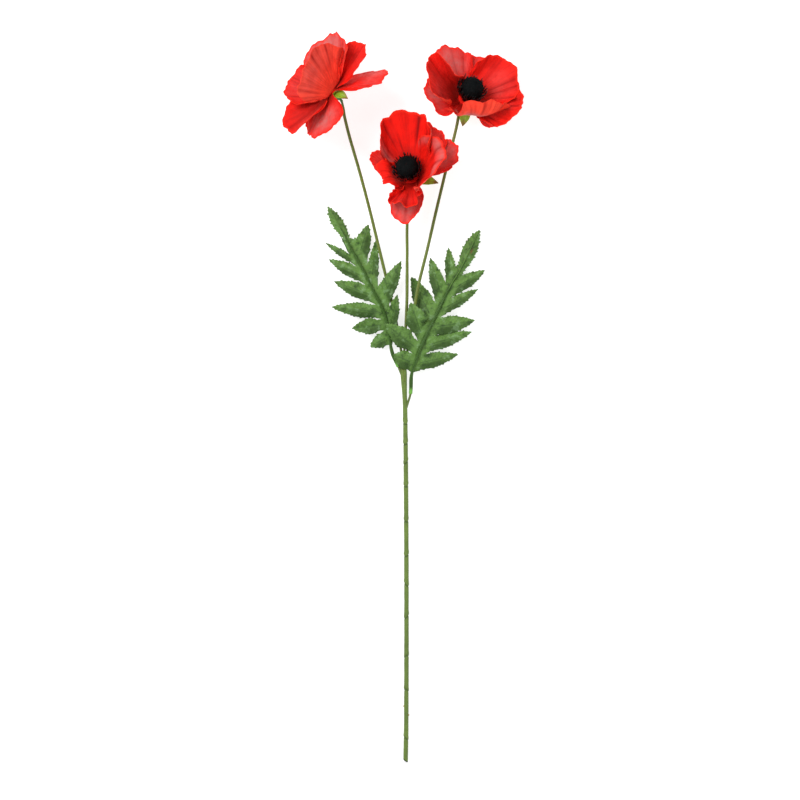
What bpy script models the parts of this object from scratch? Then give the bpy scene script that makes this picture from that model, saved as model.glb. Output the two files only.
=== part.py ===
"""An artificial poppy spray that lies on a table: three fabric blooms, two fabric leaves, one taped stem.

The cut end of the stem points to -Y and the blooms to +Y; +Z is away from the table. Tables are in
millimetres and degrees, and every mesh is made in metres. The spray rests on three low points: the
cut end, the lowest petal of the left bloom and the lowest petal of the right bloom.
"""

import math

import bmesh
import bpy
import numpy as np
from mathutils import Matrix

MM = 0.001
GAP = 0.3  # clearance between two pieces that touch
CLOTH = 0.62  # thickness of every fabric blade

# Stem: a bundle of three stalks bound with tape, pinched where the tape laps.
STEM_PATH = [(1.4, -327.0, 1.85), (2.0, -290.0, 2.6), (2.2, -180.0, 3.6), (1.8, -80.0, 4.6),
             (0.9, -5.0, 5.4), (0.0, 16.0, 5.7), (-0.6, 30.0, 6.0)]
STEM_RADIUS = 1.95
STEM_TOP_RADIUS = 2.75
TAPE_LAPS = [-305.2, -262.1, -231.8, -195.5, -166.4, -139.7, -108.7, -77.1, -57.1, -39.2, -20.9]
TAPE_PINCH = 0.2
WIRE_RADIUS = 0.22
BORE_RADIUS = 0.6
WIRE_SPREAD_LOW = 0.85
WIRE_SPREAD_TOP = 1.42

# Stalks: plastic tubes over the wires, from the stem to the blooms.
STALK_RADIUS = 1.05
STALK_PATHS = {
    "left": [(-3.6, 52.0, 6.4), (-12.0, 92.0, 7.2), (-21.0, 130.0, 9.8), (-31.0, 171.0, 15.0),
             (-40.2, 205.5, 21.0), (-49.5, 236.0, 27.0), (-54.2, 254.0, 30.0)],
    "middle": [(1.3, 60.0, 8.2), (2.6, 90.0, 9.8), (2.8, 130.0, 12.0), (3.3, 165.0, 13.2)],
    "right": [(6.0, 60.0, 7.0), (12.5, 100.0, 9.0), (21.0, 135.0, 11.0), (28.6, 168.0, 12.5),
              (39.5, 213.5, 13.5), (47.0, 244.0, 13.6)],
}

# Blooms: the hub circle that the petals grow from, and what is stacked on the stalk. A bloom lies with
# its hub at "place"; one that has no height is set down on the table. Its axis points the way it faces.
HUB = 5.2
DISC_RADIUS = 6.6
LAYER_DISC = 0.9
LAYER_STEP = 0.11  # each petal of a layer starts this much higher than the one before
INNER_LAYER = LAYER_DISC + GAP
THROUGH_HOLE = STALK_RADIUS + GAP + 0.08
STALK_REACH = 12.0  # how far a stalk runs up into its seed head
BALL_HEIGHT = 18.5
PETAL_ROWS = [0.0, 0.12, 0.32, 0.56, 0.8, 1.0]
PETAL_COLUMNS = 8
LOBE_ROWS = 7
TIP_ROWS = 7
FILAMENTS = 8
WIRE_STEPS = 8

BLOOMS = {
    "right": dict(
        place=(54.4, 267.8), axis=57, lean=52, side=(1, 0, 0), ball=11.3,
        outer=[
            dict(az=116, length=53, spread=36, tilt=12, bend=8, cup=22, ruffle=1.5, waves=3, phase=40),
            dict(az=74, length=48, spread=46, tilt=10, bend=4, cup=4, ruffle=1.2, waves=3, phase=120),
            dict(az=-12, length=38, spread=40, tilt=-8, bend=-16, bend_power=1.5, cup=10, ruffle=1.2,
                 waves=3, phase=200),
            dict(az=196, length=41, spread=44, tilt=4, bend=18, cup=8, ruffle=1.5, waves=3, phase=310),
        ],
        inner=[
            dict(az=170, length=54, spread=54, tilt=30, bend=4, cup=20, fold_right=(0.36, 75, 0.3),
                 ruffle=1.3, waves=3, phase=10),
            dict(az=38, length=54, spread=46, tilt=29, bend=2, cup=14, fold_left=(0.5, 50, 0.25),
                 ruffle=1.5, waves=3, phase=80),
            dict(az=-8, length=53, spread=52, tilt=20, bend=18, cup=14, ruffle=1.2, waves=3, phase=150),
            dict(az=-72, length=48, spread=54, tilt=4, bend=138, bend_power=1.5, cup=24, ruffle=1.8,
                 waves=3, phase=240),
        ],
        sepals=[dict(az=-100, length=17, tilt=-14), dict(az=-28, length=15, tilt=-26),
                dict(az=62, length=15, tilt=-30), dict(az=150, length=15, tilt=-30)]),
    "middle": dict(
        place=(6.3, 198.0), height=24.0, axis=112, lean=58, side=(1, 0, 0), ball=11.2,
        outer=[
            dict(az=68, length=53, spread=40, tilt=10, bend=13, cup=16, ruffle=1.4, waves=3, phase=40),
            dict(az=30, length=50, spread=33, tilt=9, bend=10, cup=10, ruffle=1.2, waves=3, phase=120),
            dict(az=-97, length=48, spread=42, tilt=0, bend=-12, cup=30, ruffle=0.8, waves=3, phase=200,
                 corner=0.2, point=0.4),
            dict(az=157, length=38, spread=42, tilt=14, bend=8, cup=12, ruffle=1.5, waves=3, phase=310),
        ],
        inner=[
            dict(az=85, length=62, spread=52, tilt=35, bend=2, cup=44, fold_right=(0.36, 58, 0.2),
                 fold_left=(0.7, 30, 0.3), ruffle=1.2, waves=3, phase=10),
            dict(az=-4, length=52, spread=56, tilt=48, bend=10, cup=34, ruffle=1.2, waves=3, phase=80),
            dict(az=-97, length=44, spread=32, tilt=18, bend=14, cup=44, ruffle=2.0, waves=3, phase=150),
            dict(az=186, length=42, spread=52, tilt=40, bend=52, bend_power=0.9, cup=20, ruffle=1.3,
                 waves=3, phase=240),
        ],
        sepals=[dict(az=-14, length=21, tilt=-4), dict(az=76, length=15, tilt=-24),
                dict(az=166, length=15, tilt=-24), dict(az=-104, length=15, tilt=-28)]),
    "left": dict(
        place=(-64.6, 273.6), axis=140, lean=14, side=(0, 0, 1), ball=11.2,
        outer=[
            dict(az=64, length=54, spread=36, tilt=-21, bend=-20, cup=-20, ruffle=1.0, waves=3, phase=40,
                 corner=0.3),
            dict(az=-58, length=48, spread=44, tilt=-8, bend=-8, cup=-10, ruffle=0.8, waves=3, phase=120),
            dict(az=-150, length=48, spread=46, tilt=8, bend=6, cup=10, ruffle=1.4, waves=3, phase=200),
            dict(az=84, length=51, spread=46, tilt=2, bend=8, cup=0, fold_left=(0.05, -40, 0.4),
                 ruffle=1.2, waves=3, phase=80),
        ],
        inner=[
            dict(az=124, length=57, spread=50, tilt=40, bend=4, cup=20, ruffle=1.4, waves=3, phase=310),
            dict(az=6, length=60, spread=62, tilt=58, bend=8, cup=4, ruffle=0.8, waves=3, phase=10),
            dict(az=-98, length=55, spread=50, tilt=3, bend=6, cup=14, roll=-4, fold_right=(0.05, 42, 0.4),
                 ruffle=1.4, waves=3, phase=150),
            dict(az=-150, length=46, spread=50, tilt=48, bend=10, cup=24, ruffle=1.4, waves=3, phase=240),
        ],
        sepals=[dict(az=-62, length=17, tilt=-58), dict(az=88, length=20, tilt=-34),
                dict(az=20, length=15, tilt=-40), dict(az=180, length=15, tilt=-40)]),
}

# Leaves: a pinnate fabric blade with a plastic rib on top. A lobe has its root along the rib, its tip,
# its share of the room between the cuts (full), and the angles that its two halves fold down and twist
# by; the tables run from the base to the tip of the leaf, and "first" is the side left of the rib.
RIB_CLEAR = 1.0
PEG_RADIUS = 0.75
SOCKET_BORE = 1.15
SOCKET_RADIUS = 1.7
SOCKET_DEPTH = 5.0
TOOTH = 1.1
LEAVES = {
    "left": dict(
        rib=[(0.3, 14.0, 5.7), (-2.3, 22.5, 6.6), (-5.4, 30.2, 7.4), (-10.8, 42.8, 8.2), (-15.5, 69.3, 9.6),
             (-20.5, 84.4, 10.4), (-27.4, 97.3, 10.6), (-35.6, 114.4, 9.8), (-41.6, 125.4, 8.8),
             (-48.1, 136.9, 7.6), (-54.0, 148.9, 6.4), (-68.0, 172.6, 3.6)],
        socket=16.5, blade=36.0, terminal=(140.0, 137.0), web=(4.4, 6.4), tip_width=6.4,
        first=[dict(root=45.0, tip=(-30.2, 47.7, 3.2), full=1.0, roof=18, twist=0),
               dict(root=54.0, tip=(-46.8, 64.0, 3.0), full=1.15, roof=-26, twist=20),
               dict(root=67.0, tip=(-65.2, 83.2, 5.0), full=1.2, roof=24, twist=0),
               dict(root=83.0, tip=(-62.7, 106.0, 6.2), full=1.12, roof=24, twist=0),
               dict(root=107.0, tip=(-67.3, 125.8, 4.6), full=1.15, roof=22, twist=0),
               dict(root=121.0, tip=(-70.6, 140.9, 3.8), full=1.2, roof=16, twist=0),
               dict(root=133.0, tip=(-57.6, 148.6, 3.4), full=0.6, roof=10, twist=0)],
        second=[dict(root=60.0, tip=(-6.0, 94.0, 13.0), full=0.5, roof=-28, twist=0),
                dict(root=78.0, tip=(-2.5, 124.1, 12.4), full=0.92, roof=14, twist=0, arch=4.5),
                dict(root=100.0, tip=(-25.3, 142.8, 5.4), full=0.55, roof=-24, twist=0, arch=0.0),
                dict(root=122.0, tip=(-32.2, 157.1, 6.6), full=1.0, roof=12, twist=0)]),
    "right": dict(
        rib=[(1.4, -9.0, 5.4), (3.6, -2.5, 6.1), (5.9, 5.4, 7.0), (6.8, 22.1, 8.8), (10.0, 33.1, 10.6),
             (15.0, 46.4, 12.4), (22.4, 62.6, 12.8), (28.0, 74.5, 11.8), (33.5, 85.5, 10.4),
             (38.5, 95.9, 9.0), (43.3, 104.9, 7.8), (50.0, 115.9, 6.4), (67.4, 151.7, 3.4)],
        socket=15.0, blade=33.0, terminal=(136.0, 132.0), web=(5.4, 4.8), tip_width=7.2,
        first=[dict(root=44.0, tip=(-9.7, 40.1, 11.6), full=0.9, roof=16, twist=0),
               dict(root=54.0, tip=(-17.0, 67.9, 13.4), full=1.1, roof=14, twist=0),
               dict(root=68.0, tip=(8.1, 86.0, 13.6), full=1.0, roof=-22, twist=0),
               dict(root=84.0, tip=(6.7, 110.2, 3.6), full=1.1, roof=10, twist=0, arch=-5.0),
               dict(root=112.0, tip=(23.7, 127.1, 4.4), full=1.0, roof=18, twist=0),
               dict(root=125.0, tip=(40.1, 136.5, 4.8), full=1.0, roof=10, twist=0)],
        second=[dict(root=44.0, tip=(48.5, 40.5, 4.2), full=1.05, roof=20, twist=0),
                dict(root=60.0, tip=(61.0, 60.8, 4.6), full=1.15, roof=18, twist=0),
                dict(root=79.0, tip=(63.5, 71.0, 5.0), full=1.12, roof=20, twist=0),
                dict(root=98.0, tip=(66.6, 99.2, 4.4), full=1.12, roof=22, twist=0),
                dict(root=116.0, tip=(72.6, 116.1, 3.6), full=1.12, roof=22, twist=0)]),
}


def smooth(x):
    x = np.clip(x, 0.0, 1.0)
    return x * x * (3 - 2 * x)


def material(name, colour, roughness, metallic=0.0):
    """A Principled material of this name, made once."""
    made = bpy.data.materials.get(name)
    if made is None:
        made = bpy.data.materials.new(name)
        made.use_nodes = True
        shader = made.node_tree.nodes["Principled BSDF"]
        shader.inputs["Base Color"].default_value = (*colour, 1.0)
        shader.inputs["Roughness"].default_value = roughness
        shader.inputs["Metallic"].default_value = metallic
        made.diffuse_color = (*colour, 1.0)
    return made


def add_mesh(name, points, faces, into):
    """A mesh object in metres from points in millimetres."""
    mesh = bpy.data.meshes.new(name)
    mesh.from_pydata((np.asarray(points) * MM).tolist(), [], [list(map(int, f)) for f in faces])
    mesh.polygons.foreach_set("use_smooth", [True] * len(mesh.polygons))
    mesh.update()
    obj = bpy.data.objects.new(name, mesh)
    into.objects.link(obj)
    return obj


def grid_faces(rows, columns):
    """Triangles of an open grid of points, rows x columns, split the same way everywhere."""
    i, j = np.meshgrid(np.arange(rows - 1), np.arange(columns - 1), indexing="ij")
    a = (i * columns + j).ravel()
    b, c, d = a + 1, a + columns + 1, a + columns
    return np.concatenate([np.stack([a, d, c], 1), np.stack([a, c, b], 1)])


def sheet(name, grid, into, thickness=CLOTH):
    """A closed blade made from an open grid of points."""
    rows, columns = grid.shape[:2]
    obj = add_mesh(name, grid.reshape(-1, 3), grid_faces(rows, columns), into)
    solid = obj.modifiers.new("Thickness", "SOLIDIFY")
    solid.thickness = thickness * MM
    solid.offset = 0.0
    return obj


def settle(obj):
    """Replaces the object's mesh by its evaluated mesh, with its modifiers applied."""
    bpy.context.view_layer.update()
    graph = bpy.context.evaluated_depsgraph_get()
    mesh = bpy.data.meshes.new_from_object(obj.evaluated_get(graph), depsgraph=graph)
    obj.modifiers.clear()
    obj.data = mesh
    mesh.polygons.foreach_set("use_smooth", [True] * len(mesh.polygons))


def outward(obj):
    """Makes every face look out of the solid."""
    mesh = bmesh.new()
    mesh.from_mesh(obj.data)
    bmesh.ops.recalc_face_normals(mesh, faces=mesh.faces)
    mesh.to_mesh(obj.data)
    mesh.free()


def fuse(first, others, operation="UNION"):
    """Unites the others with the first, or cuts them from it, and removes them."""
    for obj in [first, *others]:
        settle(obj)
        outward(obj)
    helpers = bpy.data.collections.new("Helpers")
    bpy.context.scene.collection.children.link(helpers)
    for obj in others:
        for home in list(obj.users_collection):
            home.objects.unlink(obj)
        helpers.objects.link(obj)
    boolean = first.modifiers.new("Fuse", "BOOLEAN")
    boolean.operation = operation
    boolean.operand_type = "COLLECTION"
    boolean.collection = helpers
    boolean.solver = "MANIFOLD"
    settle(first)
    for obj in others:
        bpy.data.objects.remove(obj)
    bpy.data.collections.remove(helpers)
    return first


def shells_of(mesh):
    """The sets of faces joined by edges that have two faces, the largest last."""
    left = set(mesh.faces)
    shells = []
    while left:
        shell, front = set(), [left.pop()]
        while front:
            face = front.pop()
            shell.add(face)
            pairs = [edge.link_faces for edge in face.edges if len(edge.link_faces) == 2]
            near = {other for pair in pairs for other in pair if other in left}
            left -= near
            front += near
        shells.append(shell)
    return sorted(shells, key=len)


def finish(obj, mat):
    """Splits flat faces into triangles, fills closed pockets and gives the material."""
    mesh = bmesh.new()
    mesh.from_mesh(obj.data)
    bmesh.ops.triangulate(mesh, faces=mesh.faces)
    pockets = [face for shell in shells_of(mesh)[:-1] for face in shell]
    bmesh.ops.delete(mesh, geom=pockets, context="FACES")
    bmesh.ops.recalc_face_normals(mesh, faces=mesh.faces)
    mesh.to_mesh(obj.data)
    mesh.free()
    obj.data.polygons.foreach_set("use_smooth", [True] * len(obj.data.polygons))
    obj.data.materials.clear()
    obj.data.materials.append(mat)
    return obj


class Path:
    """A smooth curve through points, with a frame that doesn't twist, measured along its length."""

    def __init__(self, points, steps=24):
        p = np.array(points, float)
        ends = np.vstack([2 * p[0] - p[1], p, 2 * p[-1] - p[-2]])
        t = np.linspace(0, 1, steps, endpoint=False)[:, None]
        runs = []
        for a, b, c, d in zip(ends[:-3], ends[1:-2], ends[2:-1], ends[3:]):
            k1 = np.linalg.norm(c - b) / max(np.linalg.norm(c - a), 1e-9)
            k2 = np.linalg.norm(c - b) / max(np.linalg.norm(d - b), 1e-9)
            m1, m2 = (c - a) * k1, (d - b) * k2
            runs.append((2 * t**3 - 3 * t**2 + 1) * b + (t**3 - 2 * t**2 + t) * m1
                        + (3 * t**2 - 2 * t**3) * c + (t**3 - t**2) * m2)
        self.points = np.vstack([*runs, p[-1:]])
        gaps = np.linalg.norm(np.diff(self.points, axis=0), axis=1)
        self.along = np.concatenate([[0], np.cumsum(gaps)])
        self.length = self.along[-1]
        self.ahead = np.gradient(self.points, self.along, axis=0)
        self.ahead /= np.linalg.norm(self.ahead, axis=1)[:, None]
        first = np.cross((0, 0, 1) if abs(self.ahead[0][2]) < 0.9 else (0, 1, 0), self.ahead[0])
        across = [first / np.linalg.norm(first)]
        for tangent in self.ahead[1:]:
            side = across[-1] - (across[-1] @ tangent) * tangent
            across.append(side / np.linalg.norm(side))
        self.across = np.array(across)

    def at(self, s):
        """Point, tangent and sideways direction at distance s; a straight run beyond either end."""
        pick = [np.interp(s, self.along, column) for column in self.points.T]
        tangent = np.array([np.interp(s, self.along, column) for column in self.ahead.T])
        side = np.array([np.interp(s, self.along, column) for column in self.across.T])
        tangent /= np.linalg.norm(tangent)
        side -= (side @ tangent) * tangent
        side /= np.linalg.norm(side)
        beyond = min(s, 0.0) + max(s - self.length, 0.0)
        return np.array(pick) + tangent * beyond, tangent, side

    def offset(self, spread, turn, stations):
        """Points beside the path: spread(s) away, turned by an angle about it."""
        found = []
        for s in stations:
            point, tangent, side = self.at(s)
            up = np.cross(tangent, side)
            reach = np.interp(s, *spread)
            found.append(point + reach * (math.cos(turn) * side + math.sin(turn) * up))
        return found


def loft(name, path, rings, sides, into, closed_loop=False):
    """A body of round rings (distance along the path, radius), in order; it may turn back inside."""
    angle = np.arange(sides) * 2 * math.pi / sides
    points = []
    for s, radius in rings:
        centre, tangent, side = path.at(s)
        up = np.cross(tangent, side)
        ring = centre + radius * (np.cos(angle)[:, None] * side + np.sin(angle)[:, None] * up)
        points.append(ring)
    count = len(rings)
    faces = []
    for k in range(count if closed_loop else count - 1):
        low, high = k * sides, (k + 1) % count * sides
        for j in range(sides):
            n = (j + 1) % sides
            faces += [(low + j, low + n, high + n), (low + j, high + n, high + j)]
    points = np.vstack(points)
    if not closed_loop:
        points = np.vstack([points, path.at(rings[0][0])[0], path.at(rings[-1][0])[0]])
        start, end = count * sides, count * sides + 1
        last = (count - 1) * sides
        for j in range(sides):
            n = (j + 1) % sides
            faces += [(start, n, j), (end, last + j, last + n)]
    return add_mesh(name, points, faces, into)


def petal(shape, rows, columns):
    """Points of one petal, rows x columns, in the frame of its bloom (axis +Z)."""
    rad = np.radians
    length = shape["length"]
    u = np.asarray(rows, float)[:, None]
    v = np.asarray(columns, float)[None, :]
    ease = np.sin(v * np.pi / 2)
    root = rad(30)
    angle = ease * (root + (rad(shape["spread"]) - root) * smooth(u / 0.45))
    phase = rad(shape["phase"])
    corner = shape.get("corner", 0.45)
    rim = length * (corner + (1 - corner) * np.cos(v * np.pi / 2) ** 0.8)
    rim = rim * (1 - shape.get("point", 0.0) * np.abs(ease))
    rim = rim * (1 + 0.02 * np.sin(9 * v + phase) + 0.01 * np.sin(23 * v + 2 * phase))
    reach = HUB + u * (rim - HUB)
    x, y = reach * np.sin(angle), reach * np.cos(angle)
    # The middle line rises from the hub by the tilt and goes on turning by the bend.
    line = np.linspace(0, 1.25 * length, 400)
    share = np.clip((line - HUB) / (length - HUB), 0, 1.3)
    rise = rad(shape["tilt"]) * smooth((line - 0.9 * HUB) / 4)
    rise = rise + rad(shape["bend"]) * share ** shape.get("bend_power", 1.3)
    middle = (rise[:-1] + rise[1:]) / 2
    step = line[1] - line[0]
    out = np.interp(y, line, np.concatenate([[0], np.cumsum(np.cos(middle) * step)]))
    high = np.interp(y, line, np.concatenate([[0], np.cumsum(np.sin(middle) * step)]))
    slope = np.interp(y, line, rise)
    # Across the middle line the blade turns by the cup and by the two folds.
    growth = smooth((y - HUB) / 12)

    def turn(width):
        total = rad(shape["cup"]) * width / 26
        if "fold_left" in shape:
            start, by, soft = shape["fold_left"]
            total = total + rad(by) * smooth((width / 26 - start) / soft + 0.5)
        if "fold_right" in shape:
            start, by, soft = shape["fold_right"]
            total = total - rad(by) * smooth((-width / 26 - start) / soft + 0.5)
        return total * (growth if np.ndim(width) == 2 else growth[..., None])

    parts = (np.arange(32) + 0.5) / 32
    turns = turn(x[..., None] * parts)
    across, over = np.cos(turns).mean(-1) * x, np.sin(turns).mean(-1) * x
    roll = rad(shape.get("roll", 0)) * smooth((y - HUB) / 8)
    across, over = across * np.cos(roll) - over * np.sin(roll), across * np.sin(roll) + over * np.cos(roll)
    lean = turn(x) + roll
    wave = u**2 * np.sin(shape["waves"] * np.pi * v + phase) * shape["ruffle"]
    across, over = across - wave * np.sin(lean), over + wave * np.cos(lean)
    forward, height = out - over * np.sin(slope), high + over * np.cos(slope)
    az = rad(shape["az"])
    return np.stack([forward * np.cos(az) - across * np.sin(az),
                     forward * np.sin(az) + across * np.cos(az), height], -1)


def bloom_frame(bloom):
    """Columns: azimuth 0, azimuth 90 and the axis of a bloom, in the object's frame."""
    turn, lean = math.radians(bloom["axis"]), math.radians(bloom["lean"])
    axis = np.array([math.cos(lean) * math.cos(turn), math.cos(lean) * math.sin(turn), math.sin(lean)])
    first = np.array(bloom["side"], float)
    first -= (first @ axis) * axis
    first /= np.linalg.norm(first)
    return np.stack([first, np.cross(axis, first), axis], 1)


def tie_close(values, least):
    """Maps each value to the mean of the cluster it falls in, so that no two stay closer than least."""
    ordered = sorted(set(values))
    clusters = [[ordered[0]]]
    for value in ordered[1:]:
        if value - clusters[-1][0] < least:
            clusters[-1].append(value)
        else:
            clusters.append([value])
    return {value: sum(group) / len(group) for group in clusters for value in group}


class Blade:
    """The open surface of one leaf: lobes on both sides of the rib that share their edges."""

    def __init__(self, leaf, path, lobe_rows, tip_rows):
        self.leaf, self.path = leaf, path
        self.lobe_rows = lobe_rows
        self.points, self.faces = [], []
        end = path.length - 0.4
        sides = {}
        for side, key, start_tip in ((1, "first", leaf["terminal"][0]), (-1, "second", leaf["terminal"][1])):
            roots = [lobe["root"] for lobe in leaf[key]]
            edges = [leaf["blade"]] + [(a + b) / 2 for a, b in zip(roots, roots[1:])] + [start_tip]
            sides[side] = (key, roots, edges)
        marks = [value for _, roots, edges in sides.values() for value in roots + edges]
        tied = tie_close(marks, 2.2)
        last = max(tied.values())
        tip_marks = [last + (end - last) * (k + 1) / tip_rows for k in range(tip_rows)]
        self.stations = sorted(set(tied.values())) + tip_marks
        for side, (key, roots, edges) in sides.items():
            roots = [tied[value] for value in roots]
            edges = [tied[value] for value in edges]
            for k, lobe in enumerate(leaf[key]):
                self.lobe(side, lobe, edges[k], roots[k], edges[k + 1])
            self.terminal(side, edges[-1], end)

    def rib_point(self, s):
        point, tangent, _ = self.path.at(s)
        flat = np.array([tangent[0], tangent[1], 0.0])
        flat /= np.linalg.norm(flat)
        radius = rib_radius(s, self.path.length)
        return point - np.array([0, 0, radius + RIB_CLEAR - 0.4]), flat, np.array([-flat[1], flat[0], 0.0])

    def sinus(self, side, s):
        """The inner end of the cut between two lobes."""
        point, flat, left = self.rib_point(s)
        full = self.leaf["web"][0 if side > 0 else 1]
        reach = full * (0.3 + 0.7 * float(smooth((s - self.leaf["blade"]) / 14)))
        return point + side * left * reach + flat * 1.6

    def add(self, grid):
        rows, columns = grid.shape[:2]
        base = len(self.points)
        self.points += list(grid.reshape(-1, 3))
        self.faces += (grid_faces(rows, columns) + base).tolist()

    def lobe(self, side, lobe, low, root, high):
        spans = [s for s in self.stations if low - 1e-6 <= s <= high + 1e-6]
        share = np.array([(s - root) / (high - root) if s > root else (s - root) / (root - low) for s in spans])
        q_low, q_high = self.sinus(side, low), self.sinus(side, high)
        rib = np.array([self.rib_point(s)[0] for s in spans])
        tip = np.array(lobe["tip"])
        centre = (q_low + q_high) / 2
        vein = tip - centre
        outward = vein / np.linalg.norm(vein)
        foot = q_low + (q_high - q_low) * ((share + 1) / 2)[:, None]
        foot = foot + outward * (1.6 * (1 - share**2))[:, None]
        start = centre + outward * 1.6
        vein = tip - start
        along = np.linalg.norm(vein[:2])
        flat = np.array([vein[0], vein[1], 0.0]) / along
        square = np.array([-flat[1], flat[0], 0.0])
        if square @ (q_high - q_low) < 0:
            square = -square
        room = abs(square @ (q_high - q_low)) / 2
        rows = [rib, foot]
        count = self.lobe_rows
        for r in range(1, count + 1):
            a = r / count
            turn = float(smooth(a / 0.4))
            shape = 0.8 * (1 - a**1.9) + 0.2 * (1 - float(smooth(a / 0.14)))
            width = lobe["full"] * room * shape
            half = (1 - turn) * shape * (q_high - q_low) / 2 + turn * square * width
            middle = start + vein * a
            tooth = TOOTH * (r % 2 == 0) * (1 - 0.3 * a) * (a < 1)
            across = share[:, None] * half
            across = across + np.where(np.abs(share) > 0.99, np.sign(share), 0)[:, None] * square * tooth
            across = across + np.where(np.abs(share) > 0.99, 0.4 * tooth, 0)[:, None] * flat
            lift = -math.tan(math.radians(lobe["roof"])) * np.abs(share) * width * turn
            lift = lift + math.tan(math.radians(lobe["twist"])) * share * width * turn
            lift = lift + lobe.get("arch", 2.2) * math.sin(math.pi * a) * (1 - 0.5 * a)
            row = middle + across
            row[:, 2] += lift
            rows.append(row)
        rows[-1] = np.repeat(tip[None, :], len(spans), 0) + share[:, None] * square * 0.35
        grid = np.array(rows)
        self.add(grid if side > 0 else grid[:, ::-1])

    def terminal(self, side, start, end):
        spans = [s for s in self.stations if start - 1e-6 <= s <= end + 1e-6]
        full = self.leaf["tip_width"]
        rows = []
        for k, s in enumerate(spans):
            a = (s - start) / (end - start)
            point, flat, left = self.rib_point(s)
            if k == 0:
                edge = self.sinus(side, s)
            else:
                width = full * math.sin(math.pi * (0.16 + 0.84 * a) ** 1.25) ** 0.8 if a < 1 else 0.4
                tooth = 1.3 * TOOTH * (k % 2) * (a < 0.95)
                edge = point + side * left * (width + tooth) + flat * (1.6 + 0.8 * tooth)
                edge[2] -= 0.22 * width
            rows.append([point, edge])
        grid = np.array(rows)
        self.add(grid[:, ::-1] if side > 0 else grid)


def rib_radius(s, length):
    return 1.25 - 0.75 * min(max((s - 20) / (length - 20), 0.0), 1.0)


def make_leaf(side, leaf, home, materials):
    """The blade, the rib with its socket, and the peg that is part of the stem."""
    path = Path(leaf["rib"], 8)
    blade = Blade(leaf, path, LOBE_ROWS, TIP_ROWS)
    obj = add_mesh(f"leaf_blade_{side}", blade.points, blade.faces, home)
    mesh = bmesh.new()
    mesh.from_mesh(obj.data)
    bmesh.ops.remove_doubles(mesh, verts=mesh.verts, dist=1e-6)
    bmesh.ops.recalc_face_normals(mesh, faces=mesh.faces)
    mesh.to_mesh(obj.data)
    mesh.free()
    solid = obj.modifiers.new("Thickness", "SOLIDIFY")
    solid.thickness = CLOTH * MM
    solid.offset = 0.0
    settle(obj)
    finish(obj, materials["leaf"])
    mouth, length = leaf["socket"], path.length
    rings = [(mouth + SOCKET_DEPTH, SOCKET_BORE), (mouth, SOCKET_BORE), (mouth, SOCKET_RADIUS),
             (mouth + SOCKET_DEPTH, SOCKET_RADIUS), (mouth + SOCKET_DEPTH + 4, rib_radius(0, length))]
    count = 13
    start = mouth + SOCKET_DEPTH + 10
    for k in range(count):
        s = start + (length - 2.0 - start) * k / (count - 1)
        rings.append((s, rib_radius(s, length)))
    rib = loft(f"leaf_rib_{side}", path, rings, 8, home)
    finish(rib, materials["rib"])
    peg = loft(f"peg_{side}", path, [(0.0, 0.9), (5.0, 0.85), (9.0, PEG_RADIUS), (mouth, PEG_RADIUS),
                                     (mouth + SOCKET_DEPTH - 0.6, PEG_RADIUS)], 8, home)
    return peg


def sepal_sheet(shape, home):
    """A narrow leaflet that grows out of the calyx, folded along its vein."""
    rows, columns = np.linspace(0, 1, 4), np.linspace(-1, 1, 3)
    length, az, tilt = shape["length"], math.radians(shape["az"]), math.radians(shape["tilt"])
    t = rows[:, None]
    width = (0.9 + 2.5 * np.sin(np.pi * t**0.75)) * (1 - t**3 * 0.75)
    across = width * columns[None, :]
    along = length * t + 0 * across
    up = 0.28 * np.abs(across) + 2.0 * np.sin(np.pi * t) + 0 * along
    out = 1.9 + along * math.cos(tilt) - up * math.sin(tilt)
    high = -2.9 + along * math.sin(tilt) + up * math.cos(tilt)
    grid = np.stack([out * math.cos(az) - across * math.sin(az),
                     out * math.sin(az) + across * math.cos(az), high], -1)
    return sheet("sepal", grid, home)


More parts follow.
